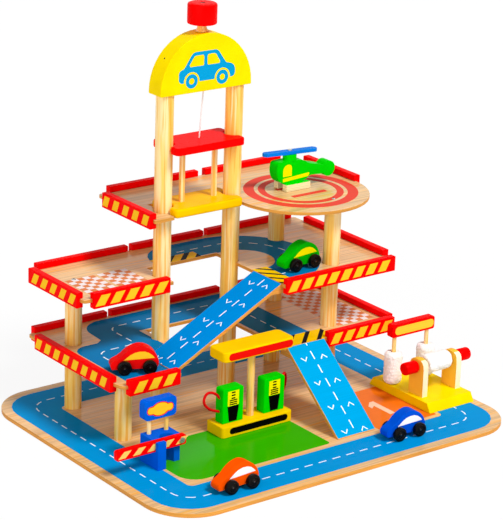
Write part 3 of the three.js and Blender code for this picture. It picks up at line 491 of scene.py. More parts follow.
# Each finish: how its material is made, its colour as one of the panel's or as a hex value,
# and for some prints how much their varnish shines
FINISHES = {
    "red_sprayed_lacquer": (lacquered_beech, "red"),
    "yellow_sprayed_lacquer": (lacquered_beech, "yellow"),
    "warm_yellow_sprayed_lacquer": (lacquered_beech, "warm_yellow"),
    "golden_yellow_sprayed_lacquer": (lacquered_beech, "#FCC000"),
    "blue_sprayed_lacquer": (lacquered_beech, "blue"),
    "green_sprayed_lacquer": (lacquered_beech, "green"),
    "sky_blue_sprayed_lacquer": (lacquered_beech, "#0478DC"),
    "honey_sprayed_lacquer": (lacquered_beech, "#FFC23C"),
    "cream_cheek_lacquer": (lacquered_beech, "#FFECC4"),
    "orange_car_sprayed_lacquer": (lacquered_beech, "#FF5200"),
    "blue_car_sprayed_lacquer": (lacquered_beech, "#0050D0"),
    "red_car_sprayed_lacquer": (lacquered_beech, "#E80C0C"),
    "green_car_sprayed_lacquer": (lacquered_beech, "#04B404"),
    "red_dipped_hose": (lacquered_beech, "#E01010"),
    "road_print": (printed_plywood, "road"),
    # The decks' road: the road's blue darkened as painted shade under the decks above
    "deck_road_print": (printed_plywood, "#0076B2", 0.008),
    "ramp_print": (printed_plywood, "ramp"),
    "upper_ramp_print": (printed_plywood, "#0088DA"),
    "meadow_print": (printed_plywood, "meadow", 0.05),
    "bay_print": (printed_plywood, "bay", 0.03),
    "white_print": (printed_plywood, "#EAF8FF"),
    "numeral_print": (printed_plywood, "#F4D0B0"),
    "hazard_black_print": (printed_plywood, "#181C20"),
    "hazard_yellow_print": (printed_plywood, "#F0C400"),
    "pad_red_print": (printed_plywood, "#E84838"),
    "check_orange_print": (printed_plywood, "#DC8450"),
    "check_white_print": (printed_plywood, "#EEE6E6"),
    "stripe_print": (printed_plywood, "#FCC424"),
    "sign_panel_print": (printed_plywood, "#FFC838"),
    "pale_stripe_print": (printed_plywood, "#FFCC64"),
    "lemon_print": (printed_plywood, "#F8EC00"),
    "white_window_print": (printed_plywood, "#F8F4FA"),
    "black_print": (printed_plywood, "#040604"),
    "red_print": (printed_plywood, "#EC1008"),
    "sky_print": (printed_plywood, "#089CD2"),
    "varnished_birch_veneer": (varnished_veneer, "veneer"),
    "sanded_plywood_edge": (cut_plies, "ply_edge"),
    "sanded_pale_plies": (cut_plies, "#F6E6B4"),
    "sanded_pine_dowel": (bare_pine, "dowel"),
    "sanded_rosy_dowel": (bare_pine, "#F4C490"),
    "knitted_wool_fleece": (wool_fleece, "#FFFEFC"),
    "twisted_cotton_string": (twisted_cotton, "#F4F2F0"),
    "zinc_plated_screw": (zinc_plated_steel, "#C8C8C4"),
    "dull_steel_nail": (zinc_plated_steel, "#58585A"),
    "black_dipped_wheel": (dipped_black, "#060606"),
    # Near-black painted shade for holes and screw recesses, standing in for the shade inside them
    "dark_drilled_hole": (dipped_black, "#181008"),
}


def finishes(names):
    """Finishes by their names in one text, each made the first time that it is asked for"""
    for name in names.split():
        if name not in bpy.data.materials:
            make, value, *varnish = FINISHES[name]
            picked = getattr(bpy.context.scene.garage_colours, value, None)
            make(name, linear(value) if picked is None else list(picked), *varnish)
    return [bpy.data.materials[name] for name in names.split()]


# Prints


def ink_layer():
    return bpy.context.scene.garage_sizes.ink / MM


def top_print(mesh, outline, z, tone=0, layers=1):
    """Ink on a face that looks up"""
    prism(mesh, outline, "z", z, z + layers * ink_layer(), tone)


def side_print(mesh, outline, axis, face, outward, tone=0, layers=1):
    """Ink on an upright face that looks along an axis, outward +1 or -1"""
    low, high = sorted((face - outward * SUNK, face + outward * layers * ink_layer()))
    prism(mesh, outline, axis, low, high, tone)


def lane(mesh, path, z, tone, first=0):
    """White dashes along a path, the first one a length after its start"""
    sizes = bpy.context.scene.garage_sizes
    long, pitch, width = sizes.dash_length / MM, sizes.dash_pitch / MM, sizes.dash_width / MM
    total = sum((b - a).length for a, b in zip(path, path[1:]))
    for k in range(int((total - long - first) / pitch) + 1):
        dash = part_of(path, first + k * pitch, first + k * pitch + long)
        if len(dash) > 1:
            strip(mesh, dash, width, "z", z, z + 2 * ink_layer(), tone)


def slanted_stripes(mesh, axis, face, across, up, count, wide, lean):
    """A row of slanted stripes, evenly spread on a face that looks to -X or -Y"""
    (low, high), (bottom, top) = across, up
    for k in range(count):
        u = low + (high - low) * (k + 0.5) / count
        outline = points(
            (u - (wide + lean) / 2, bottom), (u + (wide - lean) / 2, bottom),
            (u + (wide + lean) / 2, top), (u - (wide - lean) / 2, top),
        )
        side_print(mesh, outline, axis, face, -1)


def hazard(mesh, area, z, pitch, share, first, tones, along="x"):
    """A band of slanted yellow stripes on black over an area (left, right, front, back), cut
    off square at its ends: each stripe takes a share of the pitch"""
    left, right, front, back = area
    top_print(mesh, rectangle(left, right, front, back), z, tones[0])
    run, high = (right - left, back - front) if along == "x" else (back - front, right - left)
    lean = high if along == "x" else -high
    for k in range(-3, int(run / pitch) + 4):
        start = first + k * pitch
        end = start + share * pitch
        clipped = clip([(start, 0), (end, 0), (end + lean, high), (start + lean, high)], 0, run)
        if len(clipped) > 2:
            if along != "x":
                clipped = [(v, u) for u, v in clipped]
            outline = points(*[(left + u, front + v) for u, v in clipped])
            top_print(mesh, outline, z, tones[1], 1.6)


def clip(outline, low, high):
    """An outline cut off at two values of u"""
    for limit, keep in ((low, 1), (high, -1)):
        made = []
        for (ua, va), (ub, vb) in zip(outline, outline[1:] + outline[:1]):
            inside_a, inside_b = (ua - limit) * keep >= 0, (ub - limit) * keep >= 0
            if inside_a:
                made.append((ua, va))
            if inside_a != inside_b:
                share = (limit - ua) / (ub - ua)
                made.append((limit, va + (vb - va) * share))
        outline = made
    return outline


def checks(mesh, left, right, front, back, z, across, tones):
    """A patch of small squares in two colours"""
    size = (right - left) / across
    for i in range(across):
        for j in range(round((back - front) / size)):
            u, v = left + i * size, back - (j + 1) * size
            top_print(mesh, rectangle(u, u + size, v, v + size), z, tones[(i + j) % 2])


# Small shared parts


def screw(mesh, centre, axis, face, outward, radius=2.5, steel=0, dark=1):
    """A domed screw head on a face, with a dark cross of painted shade standing proud on its dome
    where its recess would be
    """
    profile = [(radius, 0), (radius, 0.25), (radius * 0.8, 0.7), (radius * 0.45, 0.95), (0, 1)]
    turned(mesh, [(r, face + outward * h) for r, h in profile], centre, axis, steel, 20)
    here = Vector(centre)
    low, high = sorted((face + outward * 0.8, face + outward * 1.06))
    # The cross is painted shade in place of a recess cut into the head
    for turn in (0.6, 0.6 + math.pi / 2):
        along = Vector((math.cos(turn), math.sin(turn))) * radius * 0.55
        strip(mesh, [here - along, here + along], radius * 0.2, axis, low, high, dark)


def fleece(node, ends, centre, axis, radius, bore, round_end=6.5):
    """A tufted sleeve along an axis, kept inside its solid and open for its dowel"""
    low, high = ends
    u, v = centre
    pile = bpy.context.scene.garage_sizes.pile / MM
    steps, rings = 72, 44
    mesh = bmesh.new()
    at = ACROSS[axis]
    made = []
    for k in range(rings + 1):
        w = low + (high - low) * k / rings
        near = min(w - low, high - w)
        fall = math.sqrt(max(0, 1 - (1 - min(1, near / round_end)) ** 2))
        reach = radius - round_end * 0.75 * (1 - fall)
        ring = []
        for i in range(steps):
            angle = 2 * math.pi * i / steps
            way = Vector(at(math.cos(angle), math.sin(angle), 0))
            here = Vector(at(u, v, w)) + way * reach
            # Tufts of two sizes, and wider lumps below them
            tuft = noise.noise(here / 2.1) * 0.6 + noise.noise(here / 1.0) * 0.4
            lump = noise.noise(here / 9.0)
            inward = pile * (0.62 - 0.75 * tuft) + 0.5 * abs(lump)
            ring.append(mesh.verts.new((here - way * max(0, inward)) * MM))
        made.append(ring)
    hole = arc(u, v, bore, steps=steps)
    first, last = (
        [mesh.verts.new(Vector(at(*p, w)) * MM) for p in hole] for w in (low + 0.4, high - 0.4)
    )
    made = [first, *made, last]
    for a, b in zip(made, made[1:]):
        for i in range(steps):
            j = (i + 1) % steps
            mesh.faces.new((a[i], a[j], b[j], b[i]))
    wool = piece(
        node + "_fleece", mesh, node, "knitted_wool_fleece", "white_fleece", replaces=[node]
    )
    smoothed(wool)


# Pieces


class GARAGE_OT_boards(bpy.types.Operator):
    """Gives the base board and the three decks their veneer, cut edges and printed roads"""

    bl_idname = "toy_garage.boards"
    bl_label = "Boards and roads"

    # From the base board's edge to its road's outer side, dashes and inner side
    road_outer, road_dashes, road_inner = 12, 38.5, 65.5
    meadow = ((-180, -124, 24), (20, -124, 5), (20, -18.5, 3), (-180, -18.5, 3))
    bay = (92, 180, -126, -20, 3)
    numeral = ((133, -96), (141, -96), (141, -55), (135, -55), (126, -64), (126, -71), (133, -66))
    # Deck 2's bend: its middle, and the radii of its outer side, dashes and inner side
    bend, bend_outer, bend_dashes, bend_inner = (39, 77), 91.5, 64.5, 37.5
    # The landing pad's middle, its rings as outer and inner radius, and its two bars
    pad, rings = (113.5, 66), ((69.3, 56.4), (51.8, 43.2))
    bars, bar_half = (49.5, 81.5), 3.8
    # Finishes of the decks' prints and of a screw in them, and the tones that pick them. Their
    # road's blue is darkened with painted shade, and the screw's cross is painted shade.
    deck_prints = (
        "deck_road_print white_print hazard_black_print hazard_yellow_print "
        "check_orange_print check_white_print"
    )
    screw_finishes = " zinc_plated_screw dark_drilled_hole"
    white, hazard_tones, check_tones, steel, dark = 1, (2, 3), (4, 5), 6, 7

    def execute(self, context):
        for name in ("base_board", "deck_1", "deck_2", "deck_3"):
            dressed(
                name, "varnished_birch_veneer sanded_plywood_edge", "printed_plywood",
                context.scene.garage_sizes.board_edge,
                lambda centre, normal: int(abs(normal.z) < 0.5),
            )
        self.base_print()
        self.first_print()
        self.second_print()
        self.third_print()
        return {"FINISHED"}

    def base_print(self):
        low, high = box("base_board")
        z = high.z
        mesh = bmesh.new()

        def inset(by, radius):
            return rectangle(low.x + by, high.x - by, low.y + by, high.y - by, radius)

        outer, inner = inset(self.road_outer, 46), inset(self.road_inner, 7)
        band(mesh, outer, inner, "z", z, z + ink_layer())
        middle = inset(self.road_dashes, 26)
        lane(mesh, middle + middle[:1], z, self.white)
        top_print(mesh, corners(self.meadow), z, 2)
        top_print(mesh, rectangle(*self.bay), z, 3)
        top_print(mesh, points(*self.numeral), z, 4, 2)
        names = "road_print white_print meadow_print bay_print numeral_print"
        piece("base_print", mesh, "garage", names, "printed_plywood")

    def first_print(self):
        z = box("deck_1")[1].z
        mesh = bmesh.new()
        road = points((-185, -17)) + arc(-165, 89, 20, 180, 90, 8) + points((-148, 109), (-139, 115))
        road += arc(-104.5, 138, 33, 180, 90, 10) + points((86.7, 171), (86.7, 7.5), (33.5, 7.5))
        road += points((33.5, 117), (-83, 117), (-83, 48.5), (-122, 48.5), (-122, -17))
        top_print(mesh, road, z)
        dashes = points((60, 36), (60, 118)) + arc(34, 118, 26, 0, 90, 8)[1:]
        dashes += points((-96, 144)) + arc(-96, 130, 14, 90, 180, 6)[1:] + points((-110, 96))
        dashes += arc(-122, 96, 12, 0, -90, 6)[1:] + points((-150, 84))
        dashes += arc(-150, 68, 16, 90, 180, 6)[1:] + points((-166, 12))
        lane(mesh, dashes, z, self.white)
        hazard(mesh, (33.5, 105, -20.2, 7.5), z, 22.8, 0.68, 5.5, self.hazard_tones)
        checks(mesh, 129, 184.5, 2.5, 121.5, z, 7, self.check_tones)
        piece("deck_1_print", mesh, "garage", self.deck_prints, "printed_plywood")

    def second_print(self):
        z = box("deck_2")[1].z
        x, y = self.bend
        # Where the bend's ends go over into straight road, and where that ends on the left
        straight, left = 28, -59
        mesh = bmesh.new()
        outer, inner = (
            points((straight, y + r)) + arc(x, y, r, 90, -90, 28) + points((straight, y - r))
            for r in (self.bend_outer, self.bend_inner)
        )
        top_print(mesh, outer + inner[::-1], z)
        top = y + self.bend_outer
        top_print(mesh, corners([(left, 117), (straight, 117), (straight, top), (left, top, 45)]), z)
        track = points((-36, 142), (x, y + self.bend_dashes))
        track += arc(x, y, self.bend_dashes, 90, -90, 24)[1:]
        lane(mesh, track, z, self.white, 2.8)
        tones = self.hazard_tones
        hazard(mesh, (-58, 5, 115.3, 134), z + ink_layer(), 21.6, 0.61, 18.3, tones)
        hazard(mesh, (26.7, 47.5, -14.5, 43.5), z + ink_layer(), 19.6, 0.7, 8.5, tones, "y")
        checks(mesh, -182.5, -143, 63, 126, z, 5, self.check_tones)
        checks(mesh, -138.5, -98.5, 62, 126, z, 5, self.check_tones[::-1])
        # The screw that holds the post below
        screw(mesh, (-170.5, 125.4), "z", z + 0.1, 1, 2.6, self.steel, self.dark)
        names = self.deck_prints + self.screw_finishes
        piece("deck_2_print", mesh, "garage", names, "printed_plywood")

    def third_print(self):
        z = box("deck_3")[1].z
        mesh = bmesh.new()
        for radii in self.rings:
            outer, inner = (arc(*self.pad, radius, steps=72) for radius in radii)
            band(mesh, outer, inner, "z", z, z + ink_layer())
        for y in self.bars:
            top_print(mesh, rectangle(88, 139, y - self.bar_half, y + self.bar_half), z)
        screw(mesh, (125.3, 17.9), "z", z + 0.1, 1, 2.2, 1, 2)
        names = "pad_red_print" + self.screw_finishes
        piece("deck_3_print", mesh, "garage", names, "printed_plywood")


class GARAGE_OT_posts(bpy.types.Operator):
    """Turns the six uprights into bare dowels with growth rings"""

    bl_idname = "toy_garage.posts"
    bl_label = "Posts"

    # How far the edges of a post's ends are eased
    eased = 0.4

    def execute(self, context):
        names = ["tower_post_left", "tower_post_right"]
        names += [f"post_{end}_{side}" for end in ("back", "front") for side in ("left", "right")]
        for name in names:
            low, high = box(name)
            centre, radius = middle_of(name), (high.x - low.x) / 2
            mesh = bmesh.new()
            profile = [(radius - self.eased, low.z), (radius, low.z + self.eased)]
            profile += [(radius, high.z - self.eased), (radius - self.eased, high.z)]
            turned(mesh, profile, centre.xy, steps=48)
            wood = "sanded_pine_dowel"
            piece(name + "_dowel", mesh, "garage", wood, "bare_dowel", replaces=[name])
        return {"FINISHED"}


class GARAGE_OT_rails(bpy.types.Operator):
    """Lacquers the decks' rails, with printed stripes on those that face out in front"""

    bl_idname = "toy_garage.rails"
    bl_label = "Rails"

    # Rail, way it faces, number of stripes, width, lean, room before the first, after the last
    striped = (
        ("rail_1_left", "x", 8, 10.6, -5.4, 4.35, -0.35),
        ("rail_2_left", "x", 5, 10.5, -6.8, 0.1, 5.8),
        ("rail_3_left", "x", 5, 10.6, -5, -0.2, -1.2),
        ("rail_1_front_left", "y", 3, 11.8, 7.5, 5, 5),
        ("rail_1_front_right", "y", 5, 12, 7, 2, 3),
        ("rail_2_front_left", "y", 5, 12.6, 8, 2, 3),
        ("rail_2_front_right", "y", 8, 12.2, 7, 1, 8),
    )
    # Lower and upper end of the stripes above a rail's lower edge
    stripes_up = (3, 15.6)

    def execute(self, context):
        edge = context.scene.garage_sizes.lacquered_edge
        for name in sorted(n for n in frame["nodes"] if n.startswith("rail_")):
            dressed(name, "red_sprayed_lacquer", "red_lacquer", edge)
        for name, axis, count, wide, lean, before, after in self.striped:
            low, high = box(name)
            run = 1 if axis == "x" else 0
            face = low[1 - run]
            across = low[run] + before, high[run] - after
            up = [low.z + height for height in self.stripes_up]
            mesh = bmesh.new()
            slanted_stripes(mesh, axis, face, across, up, count, wide, lean)
            piece(name + "_stripes", mesh, "garage", "stripe_print", "yellow_lacquer")
        return {"FINISHED"}


class GARAGE_OT_tower(bpy.types.Operator):
    """Builds the tower's half-round head with its printed car and the crank's knob"""

    bl_idname = "toy_garage.tower"
    bl_label = "Tower head and crank"

    # The pin hole's height above the head's foot and its angle from there, and its radius
    pin_height, pin_angle, pin_radius = 3.3, 37, 1.1
    # The knob's height, how far below it the collar starts, and the spindle's radius
    knob_height, collar_under_knob, spindle = 24, 9, 5.3
    # The printed car, in millimetres that are drawn larger by a share and set lower
    drawn_larger, set_lower = 1.2, 3
    car_body = (
        (-33, 13, 4), (33, 13, 4), (33, 25, 7), (22, 28, 4), (12, 42, 7), (-17, 42, 8),
        (-27, 27, 6), (-33, 25, 4),
    )
    windows = (
        ((-22, 28, 1.5), (-4, 28, 1.5), (-4, 38.5, 2), (-15, 38.5, 4)),
        ((0, 28, 1.5), (16, 28, 1.5), (9.5, 38.5, 4), (0, 38.5, 2)),
    )
    # Radius, layers of ink and tone of the wheels' discs
    wheel_discs = ((9, 1.5, 1), (7, 2, 0), (3, 2.5, 1))

    def execute(self, context):
        edge = context.scene.garage_sizes.lacquered_edge
        dressed("tower_arch", "yellow_sprayed_lacquer", "yellow_lacquer", edge)
        low, high = box("tower_arch")
        middle = middle_of("tower_arch")
        for side, face, outward in (("front", low.y, -1), ("back", high.y, 1)):
            self.emblem(side, middle.x, face, outward, low.z)
        self.crank(middle.xy)
        foot = Vector((middle.x, middle.y, low.z + self.pin_height))
        self.pin_hole(foot, (high.x - low.x) / 2)
        return {"FINISHED"}

    def pin_hole(self, foot, radius):
        """A dark plug of painted shade standing for the small hole on the left of the head's round
        side
        """
        angle = math.radians(self.pin_angle)
        out = Vector((-math.cos(angle), 0, math.sin(angle)))
        mesh = bmesh.new()
        turned(mesh, [(self.pin_radius, -0.5), (self.pin_radius, 0.04)], (0, 0), steps=16)
        place = Matrix.Translation((foot + out * radius) * MM)
        mesh.transform(place @ out.to_track_quat("Z", "Y").to_matrix().to_4x4())
        piece("arch_pin_hole", mesh, "garage", "dark_drilled_hole", "yellow_lacquer")

    def emblem(self, side, middle, face, outward, bottom):
        """A plain side view of a small car"""
        mesh = bmesh.new()

        def lay(outline, layers, tone):
            scale, up = self.drawn_larger, bottom - self.set_lower
            drawn = [Vector((middle + scale * u, up + scale * v)) for u, v in outline]
            side_print(mesh, drawn, "y", face, outward, tone, layers)

        lay(corners(self.car_body), 1, 0)
        for u in (-18, 18):
            for radius, layers, tone in self.wheel_discs:
                lay(arc(u, 14, radius), layers, tone)
        for window in self.windows:
            lay(corners(window), 1.5, 1)
        names = "sky_print yellow_sprayed_lacquer"
        piece("emblem_" + side, mesh, "garage", names, "yellow_lacquer")

    def crank(self, centre):
        low, high = box("crank_knob")
        radius, top = (high.x - low.x) / 2, high.z
        bottom = top - self.knob_height
        mesh = bmesh.new()
        knob = [(radius * 0.4, bottom), (radius - 1.2, bottom), (radius - 0.3, bottom + 0.4)]
        knob += [(radius, bottom + 1.6), (radius, top - 2.2), (radius - 0.6, top - 0.9)]
        knob += [(radius - 2.2, top - 0.1), (radius * 0.6, top), (3.4, top), (3.1, top - 0.3)]
        knob += [(3.1, top - 1.3), (0, top - 1.3)]
        turned(mesh, knob, centre, steps=48)
        # A dark plug of painted shade fills the lower part of the knob's recess, round its screw
        turned(mesh, [(3.08, top - 0.4), (3.08, top - 1.2), (0, top - 1.2)], centre, tone=1)
        screw(mesh, centre, "z", top - 1.25, 1, 1.9, 2, 1)
        names = "red_sprayed_lacquer dark_drilled_hole zinc_plated_screw"
        piece("crank_knob_red", mesh, "crank", names, "red_lacquer", replaces=["crank_knob"])
        mesh = bmesh.new()
        neck, collar = self.spindle, bottom - self.collar_under_knob
        stem = [(neck, low.z), (neck, collar), (7.2, collar), (7.4, collar + 0.6)]
        stem += [(6.2, collar + 2.4), (5.4, collar + 5), (neck, bottom)]
        turned(mesh, stem, centre)
        piece("crank_spindle", mesh, "crank", "sanded_pine_dowel", "bare_dowel")


class GARAGE_OT_lift(bpy.types.Operator):
    """Builds the lift's red roof, its dowels and bead, its yellow floor and its string"""

    bl_idname = "toy_garage.lift"
    bl_label = "Lift"

    roof_thickness, dowel_radius, dowel_aside = 9.2, 3.5, 23.1
    bead_radius, bead_up, string_hole = 5.3, 60.8, 1.7
    # The string: radius, number of strands, depth of the grooves between them as a share of
    # the radius, and the rings along it with their corners
    string_radius, strands, groove, rings, ring_corners = 0.8, 3, 0.1, 60, 12

    def execute(self, context):
        edge = context.scene.garage_sizes.lift_edge
        low, high = box("lift_canopy")
        roof_under = high.z - self.roof_thickness
        mesh = solid("lift_canopy")
        below = [f for f in mesh.faces if f.calc_center_median().z / MM < roof_under - 0.1]
        bmesh.ops.delete(mesh, geom=below, context="FACES")
        bmesh.ops.holes_fill(mesh, edges=[e for e in mesh.edges if e.is_boundary])
        piece(
            "lift_roof", mesh, "lift", "red_sprayed_lacquer", "red_lacquer", edge,
            ["lift_canopy"],
        )
        x, y = middle_of("lift_canopy").xy
        mesh = bmesh.new()
        profile = [(self.dowel_radius, low.z), (self.dowel_radius, roof_under + 0.5)]
        for side in (-1, 1):
            turned(mesh, profile, (x + side * self.dowel_aside, y), steps=24)
        bead = low.z + self.bead_up
        profile = [(4.6, bead), (self.bead_radius, bead + 0.6), (self.bead_radius, roof_under)]
        turned(mesh, profile, (x, y), steps=24)
        piece("lift_dowels", mesh, "lift", "sanded_pine_dowel", "bare_dowel")
        mesh = bmesh.new()
        # A thin dark disc of painted shade, just under the roof's top where the string goes through
        profile = [(self.string_hole, high.z - 0.05), (self.string_hole, high.z - 0.02)]
        turned(mesh, profile, (x, y), steps=20)
        piece("lift_string_hole", mesh, "lift", "dark_drilled_hole", "red_lacquer")
        dressed("lift_platform", "golden_yellow_sprayed_lacquer", "yellow_lacquer", edge)
        self.string()
        return {"FINISHED"}

    def string(self):
        low, high = box("lift_string")
        radius, middle = self.string_radius, (low.y + high.y) / 2
        start = Vector((low.x + radius, middle, low.z)) * MM
        end = Vector((high.x - radius, middle, high.z - 0.4)) * MM
        outlines, route = [], []
        for k in range(self.rings + 1):
            centre = start.lerp(end, k / self.rings)
            route.append(list(centre))
            x, y, z = centre / MM
            ring = []
            for i in range(self.ring_corners):
                angle = 2 * math.pi * i / self.ring_corners
                reach = radius * (1 + self.groove * math.cos(self.strands * (angle - k * 0.5)))
                ring.append((x + reach * math.cos(angle), y + reach * math.sin(angle)))
            outlines.append((ring, z))
        mesh = bmesh.new()
        loops(mesh, outlines, "z", 0)
        made = smoothed(new_object("lift_cotton_string", mesh, finishes("twisted_cotton_string")))
        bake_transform(made)
        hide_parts("lift_string")


class GARAGE_OT_ramps(bpy.types.Operator):
    """Dresses the two ramps with their printed lanes, dashes and arrow heads"""

    bl_idname = "toy_garage.ramps"
    bl_label = "Ramps"

    # Width of the painted lines, and of the bare wood round the print
    line, margin = 1.5, 0.4

    def execute(self, context):
        edge = context.scene.garage_sizes.board_edge
        for name in ("ramp_upper", "ramp_lower"):
            dressed(
                name, "varnished_birch_veneer sanded_plywood_edge", "printed_plywood", edge,
                lambda centre, normal: int(normal.z < 0.4),
            )
        low, high = box("ramp_upper")
        middle = middle_of("ramp_upper").y
        self.lane_print(
            "upper_ramp_lane", (26.2, middle, 164.5), (-124.4, middle, 87.0), high.y - low.y,
            "upper_ramp_print", dashes=(10.7, 20.35, 11.7), heads=(11.6, 36.4, 12.8, 17.8),
        )
        low, high = box("ramp_lower")
        middle = middle_of("ramp_lower").x
        self.lane_print(
            "lower_ramp_lane", (middle, -20.8, 86), (middle, -121.5, 6.0), high.x - low.x,
            "ramp_print", dashes=(17.5, 19.4, 11.4), heads=(13.4, 33.9, 22.1, 20.7),
        )
        return {"FINISHED"}

    def lane_print(self, name, start, end, width, tone, dashes, heads):
        """Draws the lane flat, from its upper end at the origin along +X, then tilts it.
        dashes: middle of the first, pitch, length. heads: distance of the arrow heads from the
        centre line, their pitch, and the first one's place on the right and on the left."""
        ink = ink_layer()
        start, end = Vector(start), Vector(end)
        run, half = (end - start).length, width / 2 - self.margin
        mesh = bmesh.new()
        top_print(mesh, rectangle(self.margin, run - self.margin, -half, half), 0)
        first, pitch, long = dashes
        for k in range(-1, int(run / pitch) + 1):
            middle = first + k * pitch
            ends = max(0.5, middle - long / 2), min(run - 0.5, middle + long / 2)
            if ends[1] - ends[0] > 1:
                path = points((ends[0], 0), (ends[1], 0))
                strip(mesh, path, self.line, "z", ink, 2 * ink, 1)
        aside, pitch, *firsts = heads
        for side, way, first in ((1, -1, firsts[0]), (-1, 1, firsts[1])):
            for k in range(int((run - first - 4) / pitch) + 1):
                u, v = first + k * pitch, side * aside
                tip = points((u - way * 2.7, v - 4.4), (u + way * 2.3, v), (u - way * 2.7, v + 4.4))
                strip(mesh, tip, self.line, "z", ink, 2 * ink, 1)
        along = (end - start).normalized()
        across = Vector((0, 0, 1)).cross(along).normalized()
        turn = Matrix((along, across, along.cross(across))).transposed().to_4x4()
        turn.translation = start * MM
        mesh.transform(turn)
        piece(name, mesh, "garage", tone + " white_print", "printed_plywood")


class GARAGE_OT_petrol(bpy.types.Operator):
    """Builds the petrol station: its block, pumps with hoses, dowel and roof"""

    bl_idname = "toy_garage.petrol"
    bl_label = "Petrol station"

    roof_thickness, dowel_radius, block_depth = 13, 4.5, 32.7
    pump_width, pump_depth = 29.5, 14.5
    # The pump's printed bars: down from its top to their upper edge, width, thickness
    bars = (
        (5, 5.3, 1.7), (8.5, 5.3, 1.7), (12, 5.3, 1.7),
        (14.7, 10.8, 1.4), (17.2, 10.8, 1.4), (19.7, 10.8, 1.4),
    )
    # Each hose's swing to the back in degrees, and how far its loop's end hangs down
    hose_lies = {"left": (0, 0), "right": (37, 5.2)}
    # The hose: how far it reaches out, its lower end above the pump's foot, the loop's height,
    # its radius, how far its ends run into the pump, and its route as shares of its reach and
    # its height
    hose_reach, hose_low, hose_rise, hose_radius, hose_overrun = 21.9, 14, 26, 1.6, 2
    hose_shares = (
        (0, 0.654), (0.21, 0.858), (0.54, 1), (0.84, 0.981), (1, 0.731), (0.92, 0.477),
        (0.59, 0.212), (0, 0),
    )

    def execute(self, context):
        edge = context.scene.garage_sizes.lacquered_edge
        dressed("petrol_block", "warm_yellow_sprayed_lacquer", "yellow_lacquer", edge)
        low, high = box("petrol_block")
        mesh = bmesh.new()
        pill = rectangle(low.x + 10.5, high.x - 7.5, low.z + 3.2, high.z - 2.4, 3.9)
        side_print(mesh, pill, "y", low.y, -1)
        piece("petrol_block_panel", mesh, "garage", "black_print", "yellow_lacquer")
        self.roof(edge)
        for side, name in ((-1, "left"), (1, "right")):
            self.pump(name, side, edge)
        return {"FINISHED"}

    def roof(self, edge):
        low, high = box("petrol_roof")
        under = high.z - self.roof_thickness
        mesh = bmesh.new()
        prism(mesh, rectangle(low.x, high.x, low.y, high.y, 6), "z", under, high.z)
        piece(
            "petrol_roof_slab", mesh, "garage", "warm_yellow_sprayed_lacquer",
            "yellow_lacquer", edge * 2, ["petrol_roof"],
        )
        mesh = bmesh.new()
        profile = [(self.dowel_radius, low.z), (self.dowel_radius, under + 0.5)]
        turned(mesh, profile, middle_of("petrol_roof").xy)
        piece("petrol_dowel", mesh, "garage", "sanded_rosy_dowel", "bare_dowel")
        mesh = bmesh.new()
        pill = rectangle(low.x + 6, high.x - 3, under + 2, high.z - 2, 4.4)
        side_print(mesh, pill, "y", low.y, -1)
        piece("petrol_roof_panel", mesh, "garage", "red_print", "yellow_lacquer")

    def pump(self, name, side, edge):
        pump = "petrol_pump_" + name
        low, high = box(pump)
        left = high.x - self.pump_width if side < 0 else low.x
        right = left + self.pump_width
        middle = (left + right) / 2
        front = box("petrol_block")[0].y + (self.block_depth - self.pump_depth) / 2
        mesh = bmesh.new()
        shape = corners([(left, low.z), (right, low.z), (right, high.z, 3), (left, high.z, 3)])
        prism(mesh, shape, "y", front, front + self.pump_depth)
        lacquer = "green_sprayed_lacquer"
        piece(pump + "_block", mesh, "garage", lacquer, "green_lacquer", edge, [pump])
        mesh = bmesh.new()
        panel = rectangle(middle - 7.9, middle + 7.9, high.z - 22, high.z - 3.8)
        side_print(mesh, panel, "y", front, -1)
        for down, wide, thick in self.bars:
            top = high.z - down
            bar = rectangle(middle - wide / 2, middle + wide / 2, top - thick, top)
            side_print(mesh, bar, "y", front, -1, 1, 3)
        funnel = points(
            (middle - 8.3, high.z - 22.4), (middle + 8.3, high.z - 22.4),
            (middle + 5.6, low.z + 1.6), (middle - 5.6, low.z + 1.6),
        )
        side_print(mesh, funnel, "y", front, -1, 1)
        piece(pump + "_panel", mesh, "garage", "lemon_print black_print", "green_lacquer")
        start = Vector((left if side < 0 else right, front + self.pump_depth / 2, low.z))
        self.hose(name, side, start)

    def hose(self, name, side, start):
        swing, sag = self.hose_lies[name]
        swing, reach = math.radians(swing), self.hose_reach
        way = Vector((side * math.cos(swing), math.sin(swing), -sag / reach))

        def at(out, share):
            return start + way * out + Vector((0, 0, self.hose_low + self.hose_rise * share))

        marks = [at(out * reach, share) for out, share in self.hose_shares]
        ends = [at(-self.hose_overrun, self.hose_shares[end][1]) for end in (0, -1)]
        route = smooth_route([ends[0], *marks, ends[1]], 8)
        data = bpy.data.curves.new("hose_" + name, "CURVE")
        data.dimensions, data.bevel_resolution = "3D", 4
        data.bevel_depth = self.hose_radius * MM
        spline = data.splines.new("POLY")
        spline.points.add(len(route) - 1)
        for point, place in zip(spline.points, route):
            point.co = (*(place * MM), 1)
        data.materials.append(finishes("red_dipped_hose")[0])
        made = bpy.data.objects.new("petrol_hose_" + name, data)
        bpy.context.scene.collection.objects.link(made)
        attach(made, "garage")
        sum((b - a).length for a, b in zip(route, route[1:])) * MM


